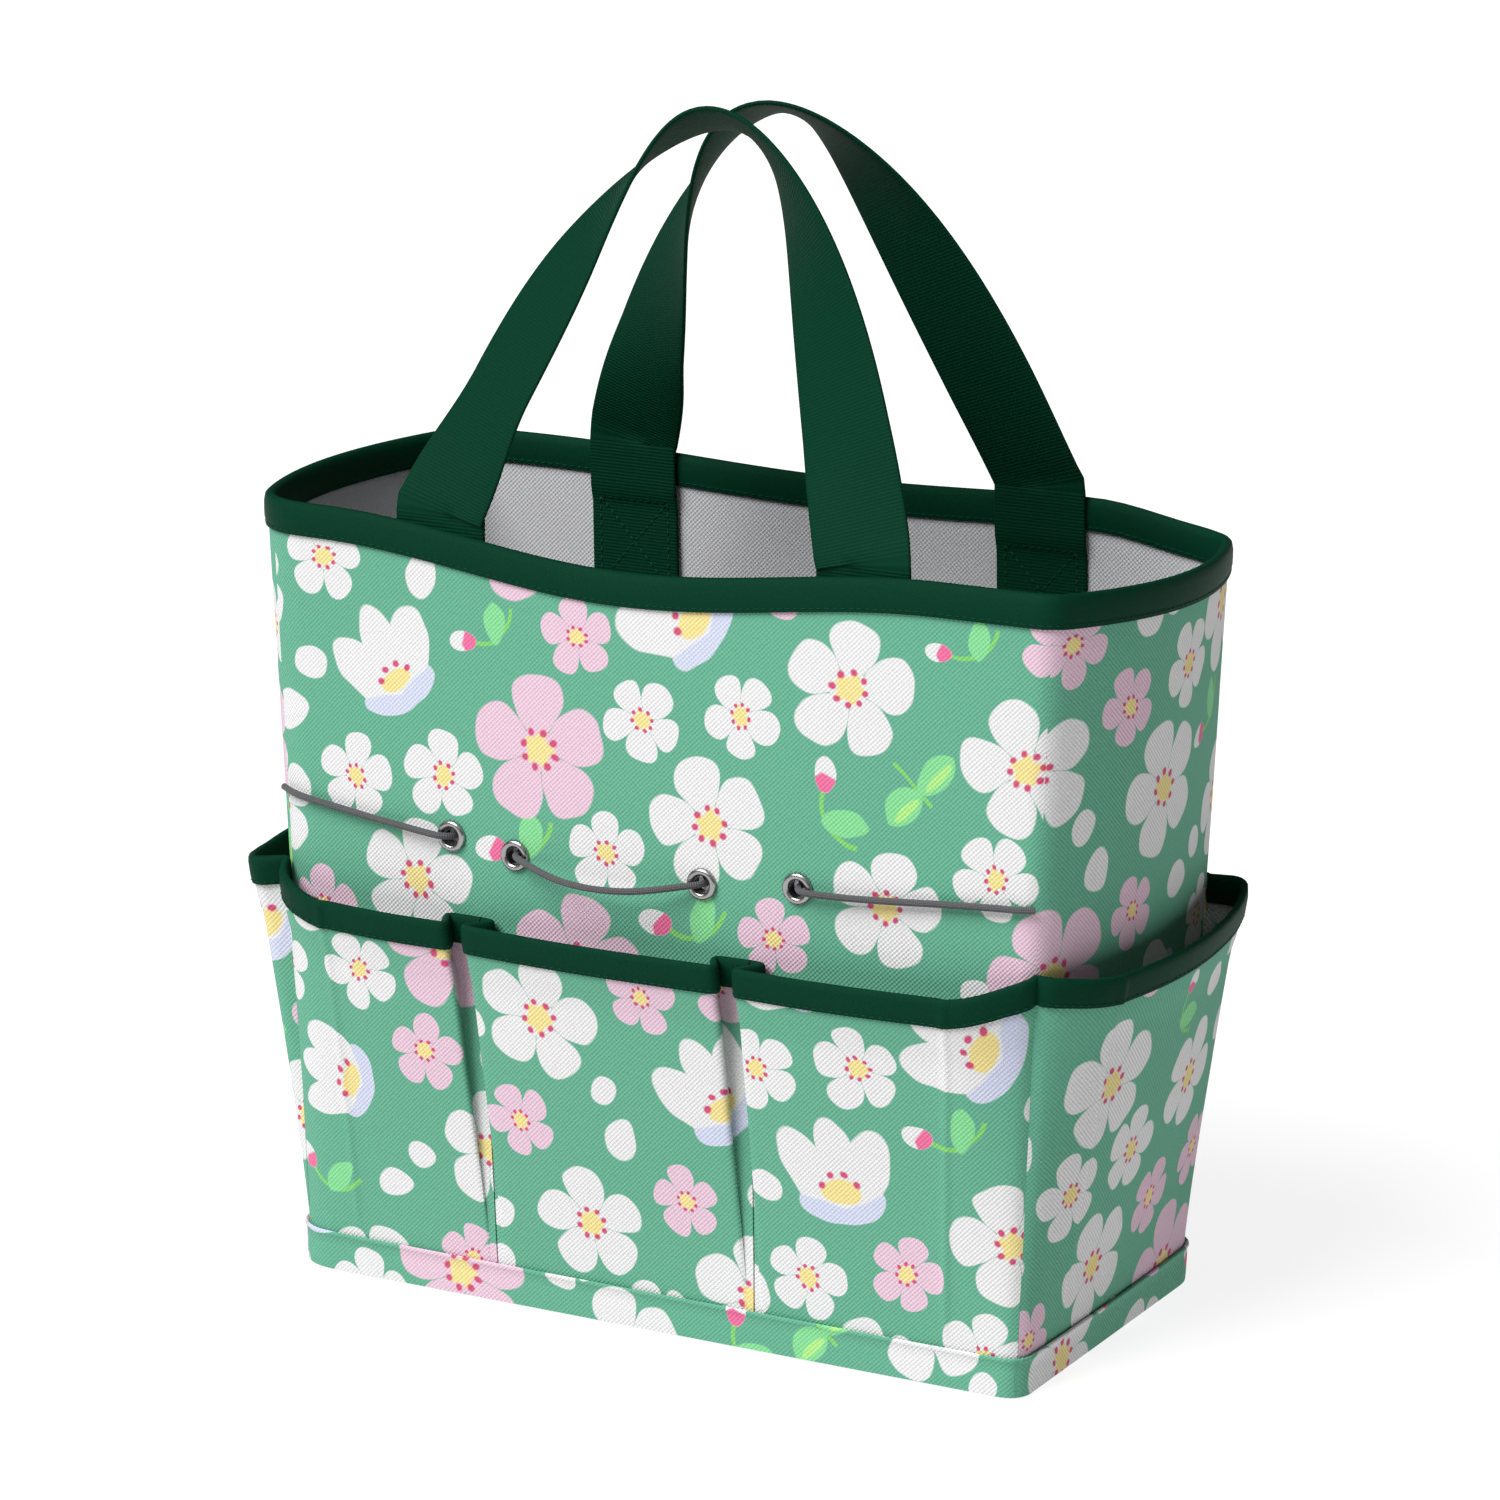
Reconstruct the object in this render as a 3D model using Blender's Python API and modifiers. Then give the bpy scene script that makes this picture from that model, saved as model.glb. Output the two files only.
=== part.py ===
"""Garden tool bag: an open-topped cloth tote with outside pockets, elastic tool loops and webbing handles.

Frame: metres, +Z up, origin on the floor under the middle of the bag, front towards -Y.
Every wall is described in its own terms: `along` runs left to right as seen from outside,
`inward` is the distance from the wall's outer face towards the middle of the bag.
"""

import math

import bmesh
import bpy
from mathutils import Matrix, Vector

# Body
WIDTH_TOP = 0.330
WIDTH_BASE = 0.308
DEPTH_TOP = 0.150
DEPTH_BASE = 0.150
HEIGHT = 0.300
END_WALL_BULGE = 0.021
LONG_WALL_BULGE = 0.007
END_BULGE_AT_RIM = 0.90
LONG_BULGE_AT_RIM = 0.35
FRONT_RIM_SAG = 0.0105
REAR_RIM_SAG = 0.004
SAG_HALF_SPAN = 0.130
FRONT_SAG_MIDDLE = -0.008
END_RIM_SAG = 0.001
REAR_CORNER_DROP = 0.007

# Cloth layers
CLEARANCE = 0.0003
OUTER_CLOTH = 0.0012
LINING_CLOTH = 0.0009
BINDING_TAPE = 0.0008
POCKET_CLOTH = 0.0010
BAND_CLOTH = 0.0009

# Binding, base and band
RIM_BINDING_HEIGHT = 0.0125
POCKET_BINDING_HEIGHT = 0.011
BOARD_THICKNESS = 0.003
BOARD_CORNER = 0.006
WALL_FOOT = 0.0002
BAND_BOTTOM = 0.0005
BAND_HEIGHT = 0.015

# Pockets
POCKET_TOP = 0.152
POCKET_CORNER_RISE = 0.009
POCKET_UNDER_BAND = 0.012
POCKET_BULGE = 0.012
CREASE_INSET = 0.029
LONG_WALL_SEAMS = (-0.0635, 0.0465)
SEAM_HALF_GAP = 0.002
FOLD_INSET = 0.008
FOLD_OVERHANG = 0.0025
PLEAT_AT_FOOT = 0.004
TUCK_INSET = 0.005
TUCK_FOOT = 0.001
BULGE_SPREAD = 1.2
POCKET_CROWN = 0.12
CORNER_RISE_SPREAD = 1.5
CORNER_STEPS = (0.02, 0.5, 1.0)
CORNER_ROUNDNESS = 0.8
BINDING_TRIMS = {"corner": 0.6, "pleat": 0.25, "tuck": 0.25}

# Elastic tool loops: eyelets as (along, height) on the front wall
EYELETS = {
    1: (-0.080, 0.1820),
    2: (-0.052, 0.1785),
    3: (0.027, 0.1785),
    4: (0.066, 0.1820),
}
EYELET_OUTER = 0.0060
EYELET_HOLE = 0.0034
EYELET_BARREL = 0.0040
WALL_HOLE = 0.0044
FLANGE_THICKNESS = 0.0012
FLANGE_LIP = 0.0007
FLANGE_RIM = 0.0010
FLANGE_FALL = 0.0003
WASHER_THICKNESS = 0.0009
CORD_DIAMETER = 0.003
KNOT_RADIUS = 0.0038

# Handles
WEBBING_WIDTH = 0.038
WEBBING_THICKNESS = 0.0018
HANDLE_HALF_SPAN = 0.088
HANDLE_NOSE = 0.043
HINGE_RISE = 0.004
TAB_LENGTH = 0.062
TAB_GAP = 0.0006
TAB_STEP = 0.006
TAB_STEP_GAP = 0.0015
FRONT_HANDLE_RISE = 0.154
REAR_HANDLE_RISE = 0.148
FRONT_LEAN = math.radians(21)
REAR_LEAN = math.radians(17)
FRONT_TWIST = (math.radians(20), 0.0)
REAR_TWIST = (0.0, math.radians(-32))
LIMB_CURVE = 1.6
TWIST_EASE = 0.1
START_TWIST_SHARE = 0.3
FLAT_END_SHARE = 0.14
HANDLE_STATIONS = 36
WALL_COLUMNS = 12

WALLS = ("front", "right", "rear", "left")
QUARTER_TURNS = {"front": 0, "right": 1, "rear": 2, "left": 3}
LONG_WALLS = ("front", "rear")
BULGES = {"long": (LONG_WALL_BULGE, LONG_BULGE_AT_RIM), "end": (END_WALL_BULGE, END_BULGE_AT_RIM)}

COLOURS = {
    "printed_cloth": ((0.12, 0.39, 0.25), 0.75, 0.0),
    "lining_cloth": ((0.44, 0.44, 0.47), 0.80, 0.0),
    "green_webbing": ((0.010, 0.060, 0.032), 0.65, 0.0),
    "dark_metal": ((0.11, 0.10, 0.105), 0.30, 1.0),
    "elastic_cord": ((0.065, 0.065, 0.070), 0.70, 0.0),
    "base_board": ((0.30, 0.30, 0.31), 0.50, 0.0),
}


def clear_scene():
    for thing in list(bpy.data.objects):
        bpy.data.objects.remove(thing, do_unlink=True)


def new_collection(name):
    collection = bpy.data.collections.new(name)
    bpy.context.scene.collection.children.link(collection)
    return collection


def finish_of(name, finish):
    colour, roughness, metallic = COLOURS[finish]
    material = bpy.data.materials.new(name)
    material.use_nodes = True
    shader = material.node_tree.nodes["Principled BSDF"]
    shader.inputs["Base Color"].default_value = (*colour, 1.0)
    shader.inputs["Roughness"].default_value = roughness
    shader.inputs["Metallic"].default_value = metallic
    return material


def add_mesh(name, bm, finish, collection):
    mesh = bpy.data.meshes.new(name)
    bm.to_mesh(mesh)
    bm.free()
    thing = bpy.data.objects.new(name, mesh)
    if finish:
        mesh.materials.append(finish_of(name, finish))
    collection.objects.link(thing)
    return thing


def blend(start, end, share):
    return start + (end - start) * share


def smooth_step(share):
    share = min(max(share, 0.0), 1.0)
    return share * share * (3 - 2 * share)


def spans(wall, height):
    """Half the wall's length and the distance of its outer face from the middle, before any bulge."""
    share = height / HEIGHT
    half_width = blend(WIDTH_BASE, WIDTH_TOP, share) / 2
    half_depth = blend(DEPTH_BASE, DEPTH_TOP, share) / 2
    return (half_width, half_depth) if wall in LONG_WALLS else (half_depth, half_width)


def wall_bulge(wall, along, height):
    half_span, _ = spans(wall, height)
    share = min(abs(along) / half_span, 1.0)
    rise = height / HEIGHT
    depth, at_rim = BULGES["long" if wall in LONG_WALLS else "end"]
    middle = (1 - at_rim) * math.sin(math.pi * min(rise, 1.0))
    return depth * (1 - share**2) * (at_rim * rise + middle)


def turned(wall, x, y, z):
    return Matrix.Rotation(QUARTER_TURNS[wall] * math.pi / 2, 3, "Z") @ Vector((x, y, z))


def wall_point(wall, along, height, inward):
    _, out = spans(wall, height)
    return turned(wall, along, inward - out - wall_bulge(wall, along, height), height)


def wall_frame(wall, along, height, inward=0.0):
    """Placement on the wall with local +Z pointing straight out of it."""
    step = 0.002
    here = wall_point(wall, along, height, inward)
    across = wall_point(wall, along + step, height, inward) - here
    upward = wall_point(wall, along, height + step, inward) - here
    out = across.cross(upward).normalized()
    across.normalize()
    return Matrix.LocRotScale(here, Matrix((across, out.cross(across), out)).transposed(), None)


def rim_height(wall, along):
    half_span, _ = spans(wall, HEIGHT)
    share = along / half_span
    if wall in LONG_WALLS:
        depth, middle = (FRONT_RIM_SAG, FRONT_SAG_MIDDLE) if wall == "front" else (REAR_RIM_SAG, 0.0)
        reach = min(abs(along - middle) / SAG_HALF_SPAN, 1.0)
        sag = depth * math.cos(math.pi * reach / 2) ** 2
        if wall == "rear":
            tab_edge = HANDLE_HALF_SPAN + WEBBING_WIDTH / 2
            sag += REAR_CORNER_DROP * smooth_step((-along - tab_edge) / (half_span - tab_edge))
        return HEIGHT - sag
    drop = REAR_CORNER_DROP * (1 + share) / 2 if wall == "right" else 0.0
    return HEIGHT - drop - END_RIM_SAG * max(1 - share**2, 0.0)


def column(half_span, across, end_inset):
    """Place of a column on the wall. The last ones stand `end_inset` in from the wall's ends."""
    reach = half_span - end_inset
    return max(min(across * half_span, reach), -reach)


def rim_line(wall, along):
    """Rim height on the straight runs between columns, which every piece at the rim follows."""
    half_span, _ = spans(wall, HEIGHT)
    step = 2 * half_span / WALL_COLUMNS
    number = min(int((along + half_span) / step), WALL_COLUMNS - 1)
    start = number * step - half_span
    share = (along - start) / step
    return blend(rim_height(wall, start), rim_height(wall, start + step), share)


def shares(count, low=0.0, high=1.0):
    return [low + (high - low) * i / count for i in range(count + 1)]


def sheet(name, rows, thickness, finish, collection):
    """A cloth piece: an open grid through its middle, given its thickness by Solidify."""
    bm = bmesh.new()
    grid = [[bm.verts.new(point) for point in row] for row in rows]
    for low, high in zip(grid, grid[1:]):
        for a, b, c, d in zip(low, low[1:], high[1:], high):
            bm.faces.new((a, b, c, d))
    thing = add_mesh(name, bm, finish, collection)
    solid = thing.modifiers.new("Thickness", "SOLIDIFY")
    solid.thickness = thickness
    solid.offset = 0.0
    solid.use_even_offset = True
    return thing


def loft(name, rings, finish, collection):
    """A closed piece through matching closed rings of points, capped at both ends."""
    bm = bmesh.new()
    grid = [[bm.verts.new(point) for point in ring] for ring in rings]
    for low, high in zip(grid, grid[1:]):
        for a, b, c, d in zip(low, low[1:] + low[:1], high[1:] + high[:1], high):
            bm.faces.new((a, b, c, d))
    bm.faces.new(grid[0])
    bm.faces.new(grid[-1])
    bmesh.ops.recalc_face_normals(bm, faces=bm.faces)
    return add_mesh(name, bm, finish, collection)


def box(name, low, high, corner, finish, collection):
    bm = bmesh.new()
    bmesh.ops.create_cube(bm, size=1.0)
    low, high = Vector(low), Vector(high)
    for vert in bm.verts:
        vert.co = Vector(blend(low[i], high[i], vert.co[i] + 0.5) for i in range(3))
    upright = [e for e in bm.edges if abs(e.verts[0].co.z - e.verts[1].co.z) > (high.z - low.z) / 2]
    bmesh.ops.bevel(bm, geom=upright, offset=corner, segments=3, profile=0.5, affect="EDGES")
    return add_mesh(name, bm, finish, collection)


def wall_sheet(name, wall, inward, thickness, end_inset, bottom, finish, collection):
    """A wall panel from `bottom` up to the rim, centred `inward` from the wall's outer face."""
    rows = []
    for share in shares(6):
        row = []
        for across in shares(WALL_COLUMNS, -1.0, 1.0):
            rim = rim_line(wall, column(spans(wall, HEIGHT)[0], across, end_inset))
            height = blend(bottom, rim, share)
            along = column(spans(wall, height)[0], across, end_inset)
            row.append(wall_point(wall, along, height, inward))
        rows.append(row)
    return sheet(name, rows, thickness, finish, collection)


POCKET_SEAM = BAND_BOTTOM + BAND_HEIGHT
POCKET_FOOT = POCKET_SEAM - POCKET_UNDER_BAND
LINING_INNER = OUTER_CLOTH + CLEARANCE + LINING_CLOTH
LINING_FLOOR = OUTER_CLOTH + CLEARANCE + BOARD_THICKNESS + CLEARANCE


def build_panels(collection):
    panels = {}
    for wall in WALLS:
        covered = 0.0 if wall in LONG_WALLS else OUTER_CLOTH + CLEARANCE
        name = f"outer_{wall}_panel"
        middle = OUTER_CLOTH / 2
        panels[wall] = wall_sheet(
            name, wall, middle, OUTER_CLOTH, covered, WALL_FOOT, "printed_cloth", collection
        )
    for wall in WALLS:
        covered = OUTER_CLOTH + CLEARANCE
        if wall not in LONG_WALLS:
            covered += LINING_CLOTH + CLEARANCE
        name = f"lining_{wall}_panel"
        middle = LINING_INNER - LINING_CLOTH / 2
        panels["lining_" + wall] = wall_sheet(
            name, wall, middle, LINING_CLOTH, covered, LINING_FLOOR, "lining_cloth", collection
        )
    return panels


def build_base(collection):
    def layer(name, inset, bottom, thickness, corner, finish):
        x, y = WIDTH_BASE / 2 - inset, DEPTH_BASE / 2 - inset
        return box(name, (-x, -y, bottom), (x, y, bottom + thickness), corner, finish, collection)

    inside_outer = OUTER_CLOTH + CLEARANCE
    inside_lining = LINING_INNER + CLEARANCE
    layer("outer_base_panel", inside_outer, 0.0, OUTER_CLOTH, BOARD_CORNER / 4, "printed_cloth")
    layer("base_board", inside_outer, inside_outer, BOARD_THICKNESS, BOARD_CORNER, "base_board")
    layer("lining_base_panel", inside_lining, LINING_FLOOR, LINING_CLOTH, BOARD_CORNER / 4, "lining_cloth")


def build_bands(collection):
    """The turned-up strip that covers the bottom edges of the pockets."""
    inner_face = 2 * CLEARANCE + POCKET_CLOTH
    middle = inner_face + BAND_CLOTH / 2
    for wall in WALLS:
        overlap = inner_face + BAND_CLOTH if wall in LONG_WALLS else inner_face - CLEARANCE
        rows = []
        for share in shares(2):
            height = BAND_BOTTOM + BAND_HEIGHT * share
            reach = spans(wall, height)[0] + overlap
            rows.append([wall_point(wall, a * reach, height, -middle) for a in shares(8, -1.0, 1.0)])
        sheet(f"base_band_{wall}", rows, BAND_CLOTH, "printed_cloth", collection)


def tape_fold(outer, inner, height):
    """Section of tape folded over an edge, as (sideways, up) points of an upside-down U.

    `outer` and `inner` are the faces that it lies on, and `height` is the length of each leg.
    """
    over, top = CLEARANCE, CLEARANCE + BINDING_TAPE
    foot = top - height
    outside, inside = outer - BINDING_TAPE, inner + BINDING_TAPE
    return (
        (outside, foot), (outside, top), (inside, top), (inside, foot),
        (inner, foot), (inner, over), (outer, over), (outer, foot),
    )


def build_rim_binding(collection):
    """Folded tape over the rim, mitred at the corners."""
    section = tape_fold(-CLEARANCE, LINING_INNER + CLEARANCE, RIM_BINDING_HEIGHT)
    for wall in WALLS:
        rings = []
        for across in shares(WALL_COLUMNS, -1.0, 1.0):
            ring = []
            for inward, up in section:
                mitre = inward + CLEARANCE
                height = rim_line(wall, column(spans(wall, HEIGHT)[0], across, mitre)) + up
                ring.append(wall_point(wall, column(spans(wall, height)[0], across, mitre), height, inward))
            rings.append(ring)
        loft(f"rim_binding_{wall}", rings, "green_webbing", collection)


def pocket_bounds(wall, number):
    """Ends of a pocket as (kind, seam): a corner end has no pleat, and a tuck is one at the corner seam."""
    if wall not in LONG_WALLS:
        return ("corner", -1), ("tuck", 1)
    ends = [("corner", -1), *(("pleat", seam) for seam in LONG_WALL_SEAMS), ("corner", 1)]
    return ends[number - 1], ends[number]


def pocket_top(wall, along):
    half_span, _ = spans(wall, POCKET_TOP)
    near = max(0.0, 1 - (half_span - abs(along)) / CREASE_INSET)
    return POCKET_TOP + POCKET_CORNER_RISE * near**CORNER_RISE_SPREAD


def pocket_path(wall, ends, share):
    """Plan of the pocket cloth's middle at `share` of its height: (along, outward) pairs, left to right."""
    height = blend(POCKET_FOOT, POCKET_TOP, share)
    half_span, _ = spans(wall, height)
    widening = half_span / spans(wall, 0.0)[0]
    fullness = max(0.0, (height - POCKET_SEAM) / (POCKET_TOP - POCKET_SEAM))
    rest = CLEARANCE + POCKET_CLOTH / 2
    bulge = POCKET_BULGE * fullness**BULGE_SPREAD
    (left_kind, left), (right_kind, right) = ends
    corner = []
    for part in CORNER_STEPS:
        round_off = math.sin(part * math.pi / 2) ** CORNER_ROUNDNESS
        corner.append((part * CREASE_INSET, rest + bulge * round_off))
    if left_kind == "corner":
        head = [(along - half_span, outward) for along, outward in corner]
    else:
        edge = left * widening
        fold = edge + blend(SEAM_HALF_GAP + PLEAT_AT_FOOT, -FOLD_OVERHANG, fullness)
        head = [(edge + SEAM_HALF_GAP, rest), (fold, rest + bulge)]
    if right_kind == "corner":
        tail = [(half_span - along, outward) for along, outward in reversed(corner)]
    elif right_kind == "tuck":
        tail = [(half_span - TUCK_INSET, rest + bulge), (half_span - TUCK_FOOT, rest)]
    else:
        edge = right * widening
        fold = edge - blend(SEAM_HALF_GAP + PLEAT_AT_FOOT, FOLD_INSET, fullness)
        tail = [(fold, rest + bulge), (edge - SEAM_HALF_GAP, rest)]
    face = []
    for across in shares(6)[1:-1]:
        crown = 1 + POCKET_CROWN * math.sin(math.pi * across)
        face.append((blend(head[-1][0], tail[0][0], across), rest + bulge * crown))
    return head + face + tail


MITRE_LIMIT = 0.35


def offset_path(points, distance):
    """The same plan path moved sideways by `distance`, with mitred corners."""
    moved = []
    for i, here in enumerate(points):
        sides = []
        for a, b in ((i - 1, i), (i, i + 1)):
            if 0 <= a and b < len(points):
                run = (points[b] - points[a]).to_2d()
                sides.append(Vector((run.y, -run.x)).normalized())
        mean = (sides[0] + sides[-1]).normalized()
        step = mean * distance / max(mean.dot(sides[0]), MITRE_LIMIT)
        moved.append(here + step.to_3d())
    return moved


def pocket_row(wall, ends, share):
    """World points of the pocket cloth's middle at `share` of the height of its edge."""
    points = []
    for along, outward in pocket_path(wall, ends, share):
        height = blend(POCKET_FOOT, pocket_top(wall, along), share)
        points.append(wall_point(wall, along, height, -outward))
    return points


def pocket_numbers(wall):
    return (1, 2, 3) if wall in LONG_WALLS else (1,)


def pocket_name(wall, number):
    return f"{wall}_pocket_{number}" if wall in LONG_WALLS else f"{wall}_pocket"


def build_pockets(collection):
    seam_share = (POCKET_SEAM - POCKET_FOOT) / (POCKET_TOP - POCKET_FOOT)
    binding_share = 1 - POCKET_BINDING_HEIGHT / (POCKET_TOP - POCKET_FOOT)
    levels = [0.0, *shares(3, seam_share, binding_share), 1.0]
    for wall in WALLS:
        for number in pocket_numbers(wall):
            rows = [pocket_row(wall, pocket_bounds(wall, number), level) for level in levels]
            sheet(pocket_name(wall, number), rows, POCKET_CLOTH, "printed_cloth", collection)


def build_pocket_bindings(collection):
    """Folded tape over each pocket's edge. Its ends stop short, where it has room beside the wall."""
    side = POCKET_CLOTH / 2 + CLEARANCE
    for wall in WALLS:
        for number in pocket_numbers(wall):
            ends = pocket_bounds(wall, number)
            edge = pocket_row(wall, ends, 1.0)
            lower = pocket_row(wall, ends, 1 - POCKET_BINDING_HEIGHT / (POCKET_TOP - POCKET_FOOT))
            for row in (edge, lower):
                row[0] = row[0].lerp(row[1], BINDING_TRIMS[ends[0][0]])
                row[-1] = row[-1].lerp(row[-2], BINDING_TRIMS[ends[1][0]])
            rows = []
            for sideways, up in tape_fold(-side, side, POCKET_BINDING_HEIGHT):
                row = offset_path(edge if up > 0 else lower, -sideways)
                lift = up if up > 0 else 0.0
                rows.append([point + Vector((0, 0, lift)) for point in row])
            loft(pocket_name(wall, number) + "_binding", list(zip(*rows)), "green_webbing", collection)


def turned_ring(name, profile, place, finish, collection, steps=16):
    """A closed (radius, height) profile turned about local Z, listed down its outer side."""
    bm = bmesh.new()
    ring = [bm.verts.new((radius, 0.0, height)) for radius, height in profile]
    for a, b in zip(ring, ring[1:] + ring[:1]):
        bm.edges.new((a, b))
    thing = add_mesh(name, bm, finish, collection)
    screw = thing.modifiers.new("Turn", "SCREW")
    screw.steps = steps
    screw.render_steps = steps
    screw.use_merge_vertices = True
    screw.merge_threshold = 0.00001
    thing.matrix_world = place
    return thing


def build_eyelets(collection, cutters, panels):
    back = LINING_INNER + CLEARANCE
    tail = back + WASHER_THICKNESS + CLEARANCE
    for number, (along, height) in EYELETS.items():
        place = wall_frame("front", along, height)
        flange_top = CLEARANCE + FLANGE_THICKNESS
        profile = [
            (EYELET_HOLE, flange_top - FLANGE_FALL),
            (EYELET_HOLE + FLANGE_LIP, flange_top),
            (EYELET_OUTER - FLANGE_RIM, flange_top - FLANGE_FALL),
            (EYELET_OUTER, CLEARANCE),
            (EYELET_BARREL, CLEARANCE),
            (EYELET_BARREL, -tail),
            (EYELET_HOLE, -tail),
        ]
        turned_ring(f"eyelet_{number}", profile, place, "dark_metal", collection)
        washer_hole = EYELET_BARREL + CLEARANCE
        ring = [
            (washer_hole, -back),
            (EYELET_OUTER, -back),
            (EYELET_OUTER, -back - WASHER_THICKNESS),
            (washer_hole, -back - WASHER_THICKNESS),
        ]
        turned_ring(f"eyelet_washer_{number}", ring, place, "dark_metal", collection)
        bm = bmesh.new()
        bmesh.ops.create_cone(
            bm, cap_ends=True, segments=16, radius1=WALL_HOLE, radius2=WALL_HOLE, depth=0.02
        )
        cutter = add_mesh(f"eyelet_cutter_{number}", bm, None, cutters)
        cutter.matrix_world = place
        cutter.hide_render = True
        cutter.display_type = "WIRE"
        for panel in ("front", "lining_front"):
            cut = panels[panel].modifiers.new(f"Eyelet {number}", "BOOLEAN")
            cut.operation = "DIFFERENCE"
            cut.object = cutter


# Cord routes on the front wall as (along, height, outward), in metres.
CORD_ROUTES = {
    "elastic_cord_left": (
        (-0.0794, 0.1820, -0.0043), (-0.0794, 0.1820, -0.0025), (-0.0800, 0.1820, 0.0000),
        (-0.0812, 0.1821, 0.0017), (-0.0829, 0.1823, 0.0029), (-0.0854, 0.1825, 0.0035),
        (-0.0910, 0.1829, 0.0034), (-0.0990, 0.1836, 0.0032), (-0.1080, 0.1844, 0.0030),
        (-0.1170, 0.1852, 0.0028), (-0.1260, 0.1861, 0.0026), (-0.1350, 0.1870, 0.0025),
        (-0.1440, 0.1879, 0.0024), (-0.1520, 0.1888, 0.0023), (-0.1590, 0.1895, 0.0023),
    ),
    "elastic_cord_middle": (
        (-0.0526, 0.1785, -0.0043), (-0.0526, 0.1785, -0.0025), (-0.0520, 0.1785, 0.0000),
        (-0.0508, 0.1784, 0.0017), (-0.0490, 0.1782, 0.0030), (-0.0460, 0.1778, 0.0044),
        (-0.0410, 0.1769, 0.0062), (-0.0340, 0.1757, 0.0084), (-0.0270, 0.1748, 0.0100),
        (-0.0200, 0.1743, 0.0109), (-0.0125, 0.1741, 0.0112), (-0.0050, 0.1743, 0.0109),
        (0.0020, 0.1748, 0.0100), (0.0090, 0.1757, 0.0084), (0.0160, 0.1769, 0.0062),
        (0.0210, 0.1778, 0.0044), (0.0240, 0.1782, 0.0030), (0.0258, 0.1784, 0.0017),
        (0.0270, 0.1785, 0.0000), (0.0276, 0.1785, -0.0025), (0.0276, 0.1785, -0.0043),
    ),
    "elastic_cord_right": (
        (0.0654, 0.1820, -0.0043), (0.0654, 0.1820, -0.0025), (0.0660, 0.1820, 0.0000),
        (0.0672, 0.1819, 0.0017), (0.0689, 0.1818, 0.0029), (0.0714, 0.1817, 0.0035),
        (0.0780, 0.1817, 0.0034), (0.0870, 0.1819, 0.0032), (0.0960, 0.1823, 0.0030),
        (0.1060, 0.1829, 0.0028), (0.1160, 0.1836, 0.0026), (0.1260, 0.1843, 0.0025),
        (0.1360, 0.1849, 0.0024), (0.1450, 0.1854, 0.0023), (0.1530, 0.1857, 0.0023),
        (0.1590, 0.1860, 0.0023),
    ),
}


def smooth_curve(points, steps):
    """Points of a Catmull-Rom curve through `points`."""
    padded = [2 * points[0] - points[1], *points, 2 * points[-1] - points[-2]]
    curve = []
    for a, b, c, d in zip(padded, padded[1:], padded[2:], padded[3:]):
        for step in range(steps):
            t = step / steps
            bend = (2 * a - 5 * b + 4 * c - d) * t**2 + (3 * (b - c) + d - a) * t**3
            curve.append(0.5 * (2 * b + (c - a) * t + bend))
    return [*curve, points[-1]]


def build_cords(collection):
    for name, route in CORD_ROUTES.items():
        points = smooth_curve([wall_point("front", s, z, -out) for s, z, out in route], 2)
        curve = bpy.data.curves.new(name, "CURVE")
        curve.dimensions = "3D"
        curve.bevel_depth = CORD_DIAMETER / 2
        curve.bevel_resolution = 2
        curve.use_fill_caps = True
        spline = curve.splines.new("POLY")
        spline.points.add(len(points) - 1)
        for target, point in zip(spline.points, points):
            target.co = (*point, 1.0)
        curve.materials.append(finish_of(name, "elastic_cord"))
        collection.objects.link(bpy.data.objects.new(name, curve))
    cord_end = max(-out for route in CORD_ROUTES.values() for _, _, out in route)
    depth = cord_end + CLEARANCE + KNOT_RADIUS
    for number, (along, height) in EYELETS.items():
        bm = bmesh.new()
        bmesh.ops.create_uvsphere(bm, u_segments=10, v_segments=7, radius=KNOT_RADIUS)
        knot = add_mesh(f"cord_knot_{number}", bm, "elastic_cord", collection)
        knot.matrix_world = wall_frame("front", along, height, depth)


def hinge_line():
    """Where the webbing leaves its sewn tabs: distance out from the middle, and height."""
    reach = LINING_INNER + 2 * CLEARANCE + BINDING_TAPE + WEBBING_THICKNESS / 2
    return -wall_point("front", HANDLE_HALF_SPAN, HEIGHT, reach).y, HEIGHT + HINGE_RISE


def build_tabs(collection):
    on_lining = LINING_INNER + CLEARANCE + WEBBING_THICKNESS / 2
    on_binding = on_lining + BINDING_TAPE + CLEARANCE
    top = HEIGHT + HINGE_RISE - WEBBING_THICKNESS / 2 - TAB_GAP
    edges = shares(4, -WEBBING_WIDTH / 2, WEBBING_WIDTH / 2)
    for wall in LONG_WALLS:
        for side, sign in (("left", -1), ("right", 1)):
            seen_sign = sign if wall == "front" else -sign
            middle = seen_sign * HANDLE_HALF_SPAN
            rim = min(rim_line(wall, middle + edge) for edge in edges)
            step_top = rim - RIM_BINDING_HEIGHT - TAB_STEP_GAP
            heights = (
                (top - TAB_LENGTH, on_lining),
                (step_top - TAB_STEP, on_lining),
                (step_top, on_binding),
                (top, on_binding),
            )
            rows = []
            for height, inward in heights:
                rows.append([wall_point(wall, middle + edge, height, inward) for edge in edges])
            sheet(f"{wall}_handle_tab_{side}", rows, WEBBING_THICKNESS, "green_webbing", collection)


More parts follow.
